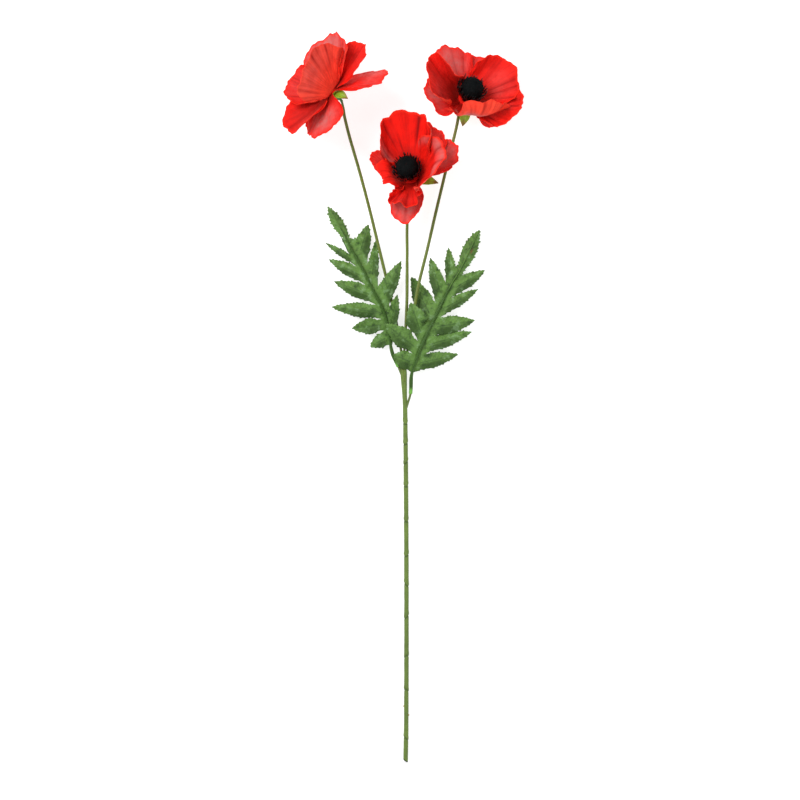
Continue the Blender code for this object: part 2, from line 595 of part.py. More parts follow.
def make_bloom(side, bloom, home, materials):
    """The pieces stacked on one stalk, and the points the stalk has to pass."""
    axle = Path([(0, 0, -10), (0, 0, 0), (0, 0, 30)], 2)
    frame = bloom_frame(bloom)
    radius = bloom["ball"]

    def turned(name, rings, sides, loop=True):
        return loft(name, axle, [(h + 10, r) for h, r in rings], sides, home, closed_loop=loop)

    pieces = []
    half = LAYER_DISC / 2
    for layer, height in (("outer", 0.0), ("inner", INNER_LAYER)):
        disc = turned(f"petals_{layer}_{side}", [(height - half, DISC_RADIUS), (height + half, DISC_RADIUS),
                                                 (height + half, THROUGH_HOLE), (height - half, THROUGH_HOLE)], 14)
        petals = []
        for k, shape in enumerate(bloom[layer]):
            grid = petal(shape, PETAL_ROWS, np.linspace(-1, 1, PETAL_COLUMNS + 1))
            grid[..., 2] += height + (k - 1.5) * LAYER_STEP
            petals.append(sheet("petal", grid, home))
        pieces.append(finish(fuse(disc, petals), materials["petal"]))
    collar = turned(f"calyx_{side}", [(-half - GAP, 3.7), (-half - GAP, THROUGH_HOLE), (-6.2, THROUGH_HOLE),
                                      (-6.2, 1.9), (-4.0, 2.3), (-2.2, 3.4)], 12)
    sepals = [sepal_sheet(shape, home) for shape in bloom["sepals"]]
    pieces.append(finish(fuse(collar, sepals), materials["calyx"]))
    low = INNER_LAYER + half + GAP
    crown = turned(f"stamens_{side}", [(low, 3.5), (low + 1.2, 3.7), (6.8, 3.0), (6.8, THROUGH_HOLE),
                                       (low, THROUGH_HOLE)], 12)
    hairs = []
    for k in range(FILAMENTS):
        az = 2 * math.pi * (k + 0.3 * math.sin(7.3 * k)) / FILAMENTS
        line = [(2.2, 5.0), (6.4, 7.2), (9.7, 10.4), (11.8, 15.0), (12.4 + 0.5 * math.sin(5.1 * k), 18.0)]
        hair = Path([(r * math.cos(az), r * math.sin(az), h) for r, h in line], 4)
        hairs.append(loft("hair", hair, [(hair.length * t, 0.34) for t in (0, 0.36, 0.68, 1.0)], 4, home))
    pieces.append(finish(fuse(crown, hairs), materials["stamen"]))
    mouth = BALL_HEIGHT - math.sqrt(radius**2 - THROUGH_HOLE**2)
    rings = [(STALK_REACH + GAP, THROUGH_HOLE), (mouth, THROUGH_HOLE)]
    for degrees in (22, 42, 62, 82, 102, 122, 142, 160, 176):
        turn = math.radians(degrees)
        rings.append((BALL_HEIGHT - radius * math.cos(turn), radius * math.sin(turn)))
    pieces.append(finish(turned(f"seed_head_{side}", rings, 12, loop=False), materials["seed"]))
    height = bloom.get("height")
    if height is None:
        turned_points = np.concatenate([mesh_points(obj) for obj in pieces]) @ frame.T
        height = -turned_points[:, 2].min()
    origin = np.array([*bloom["place"], height])
    for obj in pieces:
        matrix = np.eye(4)
        matrix[:3, :3], matrix[:3, 3] = frame, origin * MM
        obj.matrix_world = Matrix(matrix.tolist())
    return [origin + frame[:, 2] * h for h in (-12.0, -8.0, -3.0, 4.0, STALK_REACH)]


def mesh_points(obj):
    """Points of a mesh object in millimetres, in its own frame."""
    points = np.empty(len(obj.data.vertices) * 3)
    obj.data.vertices.foreach_get("co", points)
    return points.reshape(-1, 3) / MM


def make_stem(lines, pegs, home, materials):
    """The taped bundle with its leaf pegs, bored for the three wires."""
    path = Path(STEM_PATH, 8)
    end = path.length
    marks = {0.0: 0.0, end: 0.0, end - 12: 0.0, end - 26: 0.0}
    for lap in TAPE_LAPS:
        s = float(np.interp(lap, path.points[:, 1], path.along))
        for shift, pinch in ((-2.6, 0.0), (0.0, 1.0), (2.6, 0.0)):
            marks[s + shift] = pinch
    rings = []
    for s in sorted(marks):
        grow = float(smooth((s - (end - 30)) / 24))
        radius = STEM_RADIUS + (STEM_TOP_RADIUS - STEM_RADIUS) * grow - TAPE_PINCH * marks[s]
        rings.append((s, radius))
    stem = loft("stem", path, rings, 10, home)
    fuse(stem, pegs)
    cutters = []
    for line, leave in lines.values():
        stations = np.linspace(-3.0, leave + 2.0, WIRE_STEPS)
        cutters.append(loft("bore", line, [(s, BORE_RADIUS) for s in stations], 6, home))
    fuse(stem, cutters, "DIFFERENCE")
    return finish(stem, materials["stem"])


def wire_lines(ends):
    """For each stalk, the line of its wire from the cut end to the bloom, and where it leaves the stem."""
    path = Path(STEM_PATH, 8)
    turns = {"left": -30, "middle": 90, "right": 210}
    stations = np.concatenate([np.linspace(0, path.length - 30, 7), [path.length - 15, path.length]])
    spread = ([path.length - 30, path.length], [WIRE_SPREAD_LOW, WIRE_SPREAD_TOP])
    lines = {}
    for side, turn in turns.items():
        points = path.offset(spread, math.radians(turn), stations)
        line = Path([*points, *STALK_PATHS[side], *ends[side]], 8)
        lines[side] = (line, float(line.along[8 * (len(stations) - 1)]))
    return lines


def make_stalk(side, line, leave, home, materials):
    start, end = leave + 0.5, line.length
    turns = np.linspace(start, end - 30, 7).tolist() + np.linspace(end - 25, end, 6).tolist()
    outer = [(s, STALK_RADIUS) for s in turns]
    inner = [(s, BORE_RADIUS) for s in reversed(turns)]
    stalk = loft(f"stalk_{side}", line, outer + inner, 8, home, closed_loop=True)
    finish(stalk, materials["stalk"])
    low = np.linspace(-3.0, leave + 2.0, WIRE_STEPS)[1:-1].tolist()
    wire = loft(f"wire_{side}", line, [(s, WIRE_RADIUS) for s in [0.2, *low, *turns[:-1], end - 0.4]], 5, home)
    finish(wire, materials["wire"])


def centre(objects):
    """Puts the middle of the outline, seen from above, at x = 0 and y = 0."""
    flat = []
    for obj in objects:
        turn = np.array(obj.matrix_world)
        flat.append(mesh_points(obj) @ turn[:2, :3].T + turn[:2, 3] / MM)
    flat = np.concatenate(flat)
    x, y = -(flat.min(0) + flat.max(0)) / 2 * MM
    for obj in objects:
        obj.matrix_world = Matrix.Translation((x, y, 0.0)) @ obj.matrix_world


def main():
    for obj in list(bpy.data.objects):
        bpy.data.objects.remove(obj)
    home = bpy.data.collections.new("PoppySpray")
    bpy.context.scene.collection.children.link(home)
    materials = {
        "petal": material("petal_cloth", (0.68, 0.012, 0.008), 0.7),
        "seed": material("seed_flock", (0.004, 0.005, 0.006), 0.9),
        "stamen": material("stamen_plastic", (0.006, 0.006, 0.007), 0.6),
        "calyx": material("calyx_plastic", (0.16, 0.33, 0.03), 0.5),
        "stalk": material("stalk_plastic", (0.12, 0.17, 0.03), 0.5),
        "stem": material("stem_tape", (0.15, 0.28, 0.07), 0.6),
        "leaf": material("leaf_cloth", (0.1, 0.24, 0.06), 0.7),
        "rib": material("rib_plastic", (0.03, 0.1, 0.03), 0.5),
        "wire": material("wire_steel", (0.45, 0.45, 0.46), 0.35, 1.0),
    }
    ends = {side: make_bloom(side, bloom, home, materials) for side, bloom in BLOOMS.items()}
    pegs = [make_leaf(side, leaf, home, materials) for side, leaf in LEAVES.items()]
    lines = wire_lines(ends)
    make_stem(lines, pegs, home, materials)
    for side, (line, leave) in lines.items():
        make_stalk(side, line, leave, home, materials)
    centre(home.objects)


main()
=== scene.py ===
"""The dressed poppy spray: cloth petals, flocked centres, taped stem and veined leaves on a pale table.

Lengths in the tables are millimetres and angles are degrees; meshes are made in metres, in the frame of
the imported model. Azimuth 0 of a bloom is its side direction, and the petals grow round its axis.
"""

import math

import bpy
import numpy as np
from bpy.props import FloatProperty, FloatVectorProperty, IntProperty, PointerProperty
from bpy.types import Operator, Panel, PropertyGroup
from mathutils import Matrix, Vector


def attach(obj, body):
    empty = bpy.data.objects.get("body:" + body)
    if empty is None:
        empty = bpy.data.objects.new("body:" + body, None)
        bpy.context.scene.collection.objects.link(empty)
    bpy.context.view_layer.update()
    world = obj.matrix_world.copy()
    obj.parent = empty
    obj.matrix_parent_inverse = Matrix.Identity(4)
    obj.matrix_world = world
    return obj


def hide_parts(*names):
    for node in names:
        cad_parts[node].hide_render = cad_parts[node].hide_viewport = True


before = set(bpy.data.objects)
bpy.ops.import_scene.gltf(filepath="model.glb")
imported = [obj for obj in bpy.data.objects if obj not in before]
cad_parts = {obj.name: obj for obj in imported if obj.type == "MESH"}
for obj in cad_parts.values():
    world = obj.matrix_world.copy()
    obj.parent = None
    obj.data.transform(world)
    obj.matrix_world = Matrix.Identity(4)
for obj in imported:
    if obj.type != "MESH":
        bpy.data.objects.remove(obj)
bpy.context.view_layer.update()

bl_info = {
    "name": "Artificial Poppy Spray",
    "version": (1, 0, 0),
    "blender": (4, 5, 0),
    "location": "3D View > Sidebar > Poppy",
    "description": "Dresses the poppy spray with cloth petals, flocked centres, leaves and a taped stem",
    "category": "Object",
}

MM = 0.001
# The tables are measured from the top of the bundle; this brings them into the model's frame.
SHIFT = np.array([2.387, -0.068, 0.0])
UP = np.array([0.0, 0.0, 1.0])

# Stem and stalks, from the cut end to the blooms.
STEM_PATH = [(1.4, -327.0, 1.85), (2.0, -290.0, 2.6), (2.2, -180.0, 3.6), (1.8, -80.0, 4.6),
             (0.9, -5.0, 5.4), (0.0, 16.0, 5.7), (-0.6, 30.0, 6.0)]
STEM_RADIUS = 1.95
STEM_TOP_RADIUS = 2.75
TAPE_LAPS = [-305.2, -262.1, -231.8, -195.5, -166.4, -139.7, -108.7, -77.1, -57.1, -39.2, -20.9]
STALK_RADIUS = 1.05
BUNDLE_TURNS = {"left": -30, "middle": 90, "right": 210}
BUNDLE_SPREAD = 1.42
CREASE_TURNS = (0.42, 5.95)
PEG_RADIUS = 1.05
# Two knobs of glue, by their height along the stem and their side of it.
GLUE_NUBS = ((-276.0, -1.9), (-284.0, 1.9))
STALK_PATHS = {
    "left": [(-3.6, 52.0, 6.4), (-12.0, 92.0, 7.2), (-21.0, 130.0, 9.8), (-31.0, 171.0, 15.0),
             (-40.2, 205.5, 22.0), (-48.8, 235.0, 30.0), (-53.0, 252.0, 35.5)],
    "middle": [(1.3, 60.0, 8.2), (2.6, 90.0, 9.8), (2.8, 130.0, 12.0), (3.3, 165.0, 13.2)],
    "right": [(6.0, 60.0, 7.0), (12.5, 100.0, 9.0), (21.0, 135.0, 11.0), (28.6, 168.0, 12.5),
              (39.5, 213.5, 13.5), (47.0, 244.0, 13.6)],
}

# Blooms. A petal grows at the azimuth az and spreads to both sides; the tables give what differs from
# the plain petal. pale is where the painted sheen patch lies (share of the length, share across), how
# far it reaches both ways and its strength; pleats is how many and how deep.
PLAIN_PETAL = dict(waves=3, bend_power=1.3, corner=0.45, point=0.0, roll=0, scallop=(6, 0.8), frill=1.0,
                   deep=0.55, vein=0.0)
HUB = 5.2
ROOT_HALF_ANGLE = math.radians(50)
HALF_PETAL = 26
DISC_RADIUS = 6.6
DISC_HALF = 0.45
BORE_RADIUS = 1.4
INNER_LAYER = 1.2
LAYER_STEP = 0.11
# The noise of a petal's ribs runs this far across it, and starts anew on the next petal.
RIB_FAN = 30
RIB_JUMP = 97
BALL_HEIGHT = 18.5
TUFT_ROOM = 1.4
# A stamen hair: reach from the axis and height of its line, and its radii up to the knob at its tip.
HAIR_LINE = ((2.2, 5.0), (5.8, 7.0), (9.2, 10.2), (12.4, 15.0), (13.9, 19.8))
HAIR_RADII = (0.26, 0.24, 0.22, 0.21, 0.2, 0.2, 0.22, 0.5, 0.25)
# Where a sepal starts: reach from the axis and height.
SEPAL_FOOT = (1.9, -2.9)

BLOOMS = {
    "right": dict(
        origin=(54.4, 267.8, 22.078), axis=57, lean=52, side=(1, 0, 0), ball=11.3,
        outer=[
            dict(az=116, length=53, spread=36, tilt=12, bend=8, cup=22, ruffle=1.5, phase=40,
                 pale=(0.66, 0.0, 0.3, 0.5, 0.9), pleats=(7, 0.7)),
            dict(az=74, length=48, spread=46, tilt=10, bend=4, cup=4, ruffle=1.2, phase=120,
                 pale=(0.7, 0.2, 0.3, 0.5, 0.5), pleats=(6, 0.6)),
            dict(az=-12, length=38, spread=40, tilt=-8, bend=-16, bend_power=1.5, cup=10, ruffle=1.2,
                 phase=200, pale=(0.7, 0.0, 0.25, 0.5, 0.8), pleats=(6, 0.5)),
            dict(az=192, length=42, spread=44, tilt=5, bend=16, cup=8, ruffle=1.5, phase=310,
                 pale=(0.72, -0.1, 0.25, 0.5, 0.9), pleats=(7, 0.6), frill=1.3),
        ],
        inner=[
            dict(az=166, length=55, spread=54, tilt=30, bend=4, cup=20, fold_left=(0.75, 28, 0.3),
                 fold_right=(0.4, 105, 0.22), ruffle=1.9, phase=10, pale=(0.6, 0.3, 0.3, 0.4, 0.2),
                 pleats=(8, 0.9), frill=1.7, scallop=(7, 0.8), deep=0.85),
            dict(az=38, length=54, spread=46, tilt=29, bend=2, cup=14, fold_left=(0.5, 50, 0.25),
                 ruffle=1.5, phase=80, pale=(0.6, -0.2, 0.3, 0.4, 0.25), pleats=(8, 1.0), frill=1.5),
            dict(az=-8, length=53, spread=52, tilt=20, bend=18, cup=14, ruffle=1.5, phase=150,
                 pale=(0.45, 0.0, 0.25, 0.5, 0.6), pleats=(12, 1.3), frill=1.4),
            dict(az=-72, length=53, spread=54, tilt=10, bend=124, bend_power=1.4, cup=26, ruffle=2.6,
                 waves=4.2, phase=205, pale=(0.56, -0.2, 0.1, 0.8, 0.9), pleats=(9, 1.4), frill=2.8,
                 scallop=(6, 4.0)),
        ],
        sepals=[dict(az=-80, length=20, tilt=-36, wide=1.35), dict(az=-28, length=15, tilt=-26),
                dict(az=62, length=15, tilt=-30), dict(az=150, length=15, tilt=-30)]),
    "middle": dict(
        origin=(6.3, 198.0, 24.0), axis=112, lean=58, side=(1, 0, 0), ball=11.2,
        outer=[
            dict(az=68, length=53, spread=40, tilt=10, bend=13, cup=16, ruffle=1.4, phase=40,
                 pale=(0.75, 0.0, 0.25, 0.5, 0.5), pleats=(7, 0.7)),
            dict(az=30, length=50, spread=33, tilt=9, bend=10, cup=10, ruffle=1.2, phase=120,
                 pale=(0.72, 0.0, 0.25, 0.55, 0.9), pleats=(6, 0.6)),
            dict(az=-99, length=47, spread=48, tilt=0, bend=-12, cup=30, ruffle=0.8, phase=200,
                 corner=0.3, point=0.4, pale=(0.65, 0.0, 0.35, 0.6, 0.8), pleats=(3, 0.4), frill=0.5,
                 vein=1.0),
            dict(az=145, length=45, spread=34, tilt=14, bend=10, cup=30, ruffle=1.8, phase=310,
                 corner=0.35, point=0.3, pale=(0.7, 0.0, 0.25, 0.5, 0.3), pleats=(6, 0.8), frill=1.2,
                 deep=0.9),
        ],
        inner=[
            dict(az=87, length=61, spread=55, tilt=35, bend=2, cup=32, fold_left=(0.74, 40, 0.2),
                 fold_right=(0.72, 45, 0.25), ruffle=0.9, waves=5, phase=10,
                 pale=(0.6, 0.66, 0.5, 0.14, 0.9), pleats=(13, 1.9), frill=1.5, scallop=(9, 1.3)),
            dict(az=-4, length=53, spread=54, tilt=48, bend=14, recurve=(0.7, 60), cup=40, ruffle=1.8,
                 phase=80, pale=(0.9, 0.1, 0.12, 0.7, 0.7), pleats=(8, 1.2), frill=1.9),
            dict(az=-97, length=43, spread=30, tilt=18, bend=14, cup=44, ruffle=2.2, phase=150,
                 pale=(0.7, 0.0, 0.25, 0.5, 0.1), pleats=(7, 1.0), frill=2.4),
            dict(az=196, length=36, spread=42, tilt=50, bend=26, bend_power=0.9, recurve=(0.5, 110),
                 cup=22, ruffle=1.9, phase=240, pale=(0.4, 0.1, 0.2, 0.5, 0.2), pleats=(8, 1.2),
                 frill=2.2, scallop=(6, 1.2), deep=0.8),
        ],
        sepals=[dict(az=-14, length=23, tilt=-2, wide=1.3), dict(az=76, length=15, tilt=-24),
                dict(az=166, length=15, tilt=-24), dict(az=-104, length=15, tilt=-28)]),
    "left": dict(
        origin=(-64.6, 273.6, 42.159), axis=140, lean=14, side=(0, 0, 1), ball=11.2,
        outer=[
            dict(az=64, length=54, spread=36, tilt=-21, bend=-20, cup=-20, ruffle=1.0, phase=40,
                 corner=0.3, pale=(0.75, 0.2, 0.2, 0.5, 0.6), pleats=(6, 0.6)),
            dict(az=-56, length=47, spread=46, tilt=-13.7, bend=-8, cup=-14, roll=-15, ruffle=0.8,
                 phase=120, pale=(0.62, 0.0, 0.3, 0.5, 0.9), pleats=(7, 0.4), frill=0.5),
            dict(az=-150, length=47.7, spread=46, tilt=8, bend=6, cup=10, ruffle=1.4, phase=200,
                 pale=(0.7, 0.0, 0.3, 0.5, 0.4), pleats=(7, 0.6)),
            dict(az=84, length=51, spread=44, tilt=5, bend=4, cup=-6, fold_left=(0.0, 55, 0.4),
                 ruffle=1.2, phase=80, pale=(0.7, 0.0, 0.25, 0.5, 0.1), pleats=(7, 0.7)),
        ],
        inner=[
            dict(az=130, length=55, spread=54, tilt=40, bend=4, cup=12, ruffle=1.4, phase=310,
                 corner=0.8, pale=(0.8, 0.0, 0.3, 0.7, 0.9), pleats=(8, 0.8), scallop=(3, 0.3)),
            dict(az=20, length=53.5, spread=52, tilt=56, bend=8, cup=8, fold_left=(0.75, -38, 0.25),
                 ruffle=1.2, phase=10, corner=0.56, pale=(0.8, -0.2, 0.3, 0.6, 0.3), pleats=(15, 1.3),
                 frill=1.1, scallop=(8, 1.0)),
            dict(az=-90, length=52, spread=50, tilt=2, bend=12, cup=14, roll=-4,
                 fold_right=(0.05, 36, 0.4), ruffle=1.6, phase=150, corner=0.3,
                 pale=(0.6, 0.0, 0.3, 0.5, 0.1), pleats=(9, 1.1), frill=1.3, scallop=(4, 0.5), deep=1.15),
            dict(az=-150, length=46, spread=50, tilt=48, bend=10, cup=24, ruffle=1.4, phase=240,
                 pale=(0.7, 0.0, 0.3, 0.5, 0.3), pleats=(8, 0.8)),
        ],
        sepals=[dict(az=-62, length=14, tilt=-50), dict(az=88, length=20, tilt=-42),
                dict(az=20, length=15, tilt=-40), dict(az=180, length=15, tilt=-40)]),
}

# Leaves: a pinnate cloth blade under a plastic rib. A lobe has its root along the rib, its tip, how full
# it is of the room between its cuts, how far its halves fold down, its twist and its arch.
PLAIN_LOBE = dict(twist=0, arch=2.2)
RIB_CLEAR = 1.0
RIB_RADIUS = 1.25
SOCKET_RADIUS = 1.7
SOCKET_DEPTH = 5.0
CUT_RISE = 1.6
TOOTH_PITCH = 2.9
LEAF_MARKS = ("vein", "shade", "spot")
LEAVES = {
    "left": dict(
        rib=[(0.3, 14.0, 5.7), (-2.3, 22.5, 6.6), (-5.4, 30.2, 7.4), (-10.8, 42.8, 8.2), (-15.5, 69.3, 9.6),
             (-20.5, 84.4, 10.4), (-27.4, 97.3, 10.6), (-35.6, 114.4, 9.8), (-41.6, 125.4, 8.8),
             (-48.1, 136.9, 7.6), (-54.0, 148.9, 6.4), (-68.0, 172.6, 3.6)],
        socket=16.5, blade=36.0, terminal=(140.0, 137.0), web=(4.0, 5.6), tip_width=5.2, rib_end=0.85,
        brown=0.0,
        first=[dict(root=45.0, tip=(-30.2, 47.7, 3.2), full=1.0, roof=18),
               dict(root=54.0, tip=(-46.8, 64.0, 3.0), full=1.55, roof=-20, twist=14),
               dict(root=67.0, tip=(-65.2, 83.2, 5.0), full=1.2, roof=24),
               dict(root=83.0, tip=(-62.7, 106.0, 6.2), full=1.12, roof=24),
               dict(root=107.0, tip=(-67.3, 125.8, 4.6), full=1.15, roof=22),
               dict(root=121.0, tip=(-70.6, 140.9, 3.8), full=1.2, roof=16),
               dict(root=133.0, tip=(-57.6, 148.6, 3.4), full=0.6, roof=10)],
        second=[dict(root=60.0, tip=(-6.0, 94.0, 13.0), full=1.1, roof=-20),
                dict(root=78.0, tip=(-2.5, 124.1, 12.4), full=0.92, roof=14, arch=4.5),
                dict(root=100.0, tip=(-25.3, 142.8, 5.4), full=0.85, roof=-24, arch=0.0),
                dict(root=122.0, tip=(-32.2, 157.1, 6.6), full=0.82, roof=12)]),
    "right": dict(
        rib=[(1.4, -9.0, 5.4), (3.6, -2.5, 6.1), (5.9, 5.4, 7.0), (6.8, 22.1, 8.8), (10.0, 33.1, 10.6),
             (15.0, 46.4, 12.4), (22.4, 62.6, 12.8), (28.0, 74.5, 11.8), (33.5, 85.5, 10.4),
             (38.5, 95.9, 9.0), (43.3, 104.9, 7.8), (50.0, 115.9, 6.4), (67.4, 151.7, 3.4)],
        socket=15.0, blade=33.0, terminal=(136.0, 132.0), web=(5.0, 4.4), tip_width=6.6, rib_end=0.64,
        brown=0.8,
        first=[dict(root=44.0, tip=(-9.7, 40.1, 11.6), full=1.15, roof=12),
               dict(root=54.0, tip=(-17.0, 67.9, 13.4), full=1.75, roof=6, arch=3.2),
               dict(root=68.0, tip=(6.0, 86.8, 13.6), full=2.1, roof=-6, arch=3.6),
               dict(root=84.0, tip=(6.7, 110.2, 3.6), full=1.1, roof=10, arch=-5.0),
               dict(root=112.0, tip=(23.7, 127.1, 4.4), full=1.0, roof=18),
               dict(root=125.0, tip=(40.1, 136.5, 4.8), full=1.0, roof=10)],
        second=[dict(root=44.0, tip=(48.5, 40.5, 4.2), full=1.05, roof=20),
                dict(root=60.0, tip=(61.0, 60.8, 4.6), full=1.15, roof=18),
                dict(root=79.0, tip=(63.5, 71.0, 5.0), full=1.12, roof=20),
                dict(root=98.0, tip=(66.6, 99.2, 4.4), full=1.12, roof=22),
                dict(root=116.0, tip=(72.6, 116.1, 3.6), full=1.12, roof=22)]),
}

# Stage: the lowest petal rim just meets the table.
TABLE_HALF = 6000.0
TABLE_LEVEL = -0.55
WHITE = (1.0, 1.0, 1.0, 1.0)
VIEW_CENTRE = (-0.00121, -0.00052)
SENSOR_WIDTH = 36.0


# ---------------------------------------------------------------- settings


LENGTH = dict(unit="LENGTH", subtype="DISTANCE")
COLOUR = dict(subtype="COLOR", size=3, min=0.0, max=1.0)


class PetalSettings(PropertyGroup):
    """The cloth of the petals."""

    cloth: FloatProperty(name="Cloth", description="Thickness of the petal cloth", default=0.0004,
                         min=0.0002, max=0.0006, **LENGTH)
    pleat: FloatProperty(name="Pleat", description="Depth of a full pleat", default=0.0008, min=0.0,
                         max=0.002, **LENGTH)
    crinkle: FloatProperty(name="Crinkle", description="Height of the crinkles over a petal",
                           default=0.00045, min=0.0, max=0.0015, **LENGTH)
    ruffle: FloatProperty(name="Rim ruffle", description="Height of the waves at the rim", default=0.001,
                          min=0.0, max=0.002, **LENGTH)
    rows: IntProperty(name="Rows", description="Grid rows from hub to rim", default=52, min=20, max=110)
    columns: IntProperty(name="Columns", description="Grid columns across", default=100, min=20, max=130)
    inside_colour: FloatVectorProperty(name="Inside", description="Dyed red of the upper face",
                                       default=(0.8, 0.008, 0.003), **COLOUR)
    outside_colour: FloatVectorProperty(name="Outside", description="Coral red of the outer face",
                                        default=(0.98, 0.06, 0.03), **COLOUR)
    # The pale colour is a painted sheen: greyish pink laid where the satin nap would catch the light.
    painted_sheen_colour: FloatVectorProperty(name="Bloom", description="Greyish pink painted sheen of the nap",
                                     default=(0.6, 0.15, 0.14), **COLOUR)


class CentreSettings(PropertyGroup):
    """The seed heads and the stamens."""

    tufts: IntProperty(name="Tufts", description="Fibre tufts on one seed head", default=3200, min=0,
                       max=8000)
    tuft: FloatProperty(name="Tuft length", description="How far a tuft stands out", default=0.0011,
                        min=0.0, max=0.002, **LENGTH)
    stamens: IntProperty(name="Stamens", description="Hairs round one seed head", default=84, min=8,
                         max=160)
    colour: FloatVectorProperty(name="Colour", description="Near-black flock",
                                default=(0.0016, 0.0024, 0.0026), **COLOUR)


class GreenSettings(PropertyGroup):
    """The leaves, the stem, the stalks and the sepals."""

    tooth: FloatProperty(name="Saw tooth", description="Height of a leaf tooth", default=0.0013, min=0.0,
                         max=0.002, **LENGTH)
    vein: FloatProperty(name="Vein", description="Depth of a pressed leaf vein", default=0.00035, min=0.0,
                        max=0.001, **LENGTH)
    leaf_colour: FloatVectorProperty(name="Leaf", description="Dyed green cloth",
                                     default=(0.105, 0.222, 0.038), **COLOUR)
    rib_colour: FloatVectorProperty(name="Rib", description="Dark green plastic of the leaf ribs",
                                    default=(0.03, 0.085, 0.006), **COLOUR)
    stem_colour: FloatVectorProperty(name="Tape", description="Green of the stem tape",
                                     default=(0.15, 0.235, 0.038), **COLOUR)
    stalk_colour: FloatVectorProperty(name="Stalk", description="Olive plastic of the stalks",
                                      default=(0.12, 0.17, 0.01), **COLOUR)
    calyx_colour: FloatVectorProperty(name="Calyx", description="Lime plastic of the sepals",
                                      default=(0.3, 0.58, 0.03), **COLOUR)


class StageSettings(PropertyGroup):
    """The table, the lights and the camera."""

    camera_height: FloatProperty(name="Camera height", description="Height of the camera over the table",
                                 default=4.0, min=0.5, max=10.0, **LENGTH)
    view_width: FloatProperty(name="View width", description="Width that the camera sees on the table",
                              default=0.72, min=0.1, max=3.0, **LENGTH)
    key_power: FloatProperty(name="Key light", description="Power of the large soft light in watts",
                             default=44.0, min=0.0, max=500.0)
    table_glow: FloatProperty(name="Table glow", description="Light that the white table gives off",
                              default=0.72, min=0.0, max=1.0)
    fill: FloatProperty(name="Fill", description="Strength of the white surroundings", default=0.5,
                        min=0.0, max=3.0)


# ---------------------------------------------------------------- shapes


def smooth(x):
    """Soft step from 0 to 1: 3x² − 2x³ between 0 and 1."""
    x = np.clip(x, 0.0, 1.0)
    return x * x * (3 - 2 * x)


def drift(x, y, seed, wrap=64):
    """Smooth noise from −1 to 1: random heights on a square lattice, blended with soft steps."""
    table = np.random.default_rng(seed).uniform(-1, 1, (wrap, wrap))
    x, y = np.broadcast_arrays(x, y)
    i, j = np.floor(x).astype(int), np.floor(y).astype(int)
    s, t = smooth(x - i), smooth(y - j)
    low = table[i % wrap, j % wrap] * (1 - s) + table[(i + 1) % wrap, j % wrap] * s
    high = table[i % wrap, (j + 1) % wrap] * (1 - s) + table[(i + 1) % wrap, (j + 1) % wrap] * s
    return low * (1 - t) + high * t


def unit(vectors):
    """The vectors at length 1."""
    return vectors / np.maximum(np.linalg.norm(vectors, axis=-1, keepdims=True), 1e-12)


def normals_of(grid):
    """Unit normals of a grid of points: step along a row crossed with the step to the next row."""
    down, along = np.gradient(grid, axis=0), np.gradient(grid, axis=1)
    return unit(np.cross(along, down))


def grid_quads(rows, columns, wrap=False):
    """Quads of a grid; wrap joins the last column to the first."""
    i = np.arange(rows - 1)[:, None] * columns
    j = np.arange(columns if wrap else columns - 1)[None, :]
    n = (j + 1) % columns
    return np.stack(np.broadcast_arrays(i + j, i + n, i + columns + n, i + columns + j), -1).reshape(-1, 4)


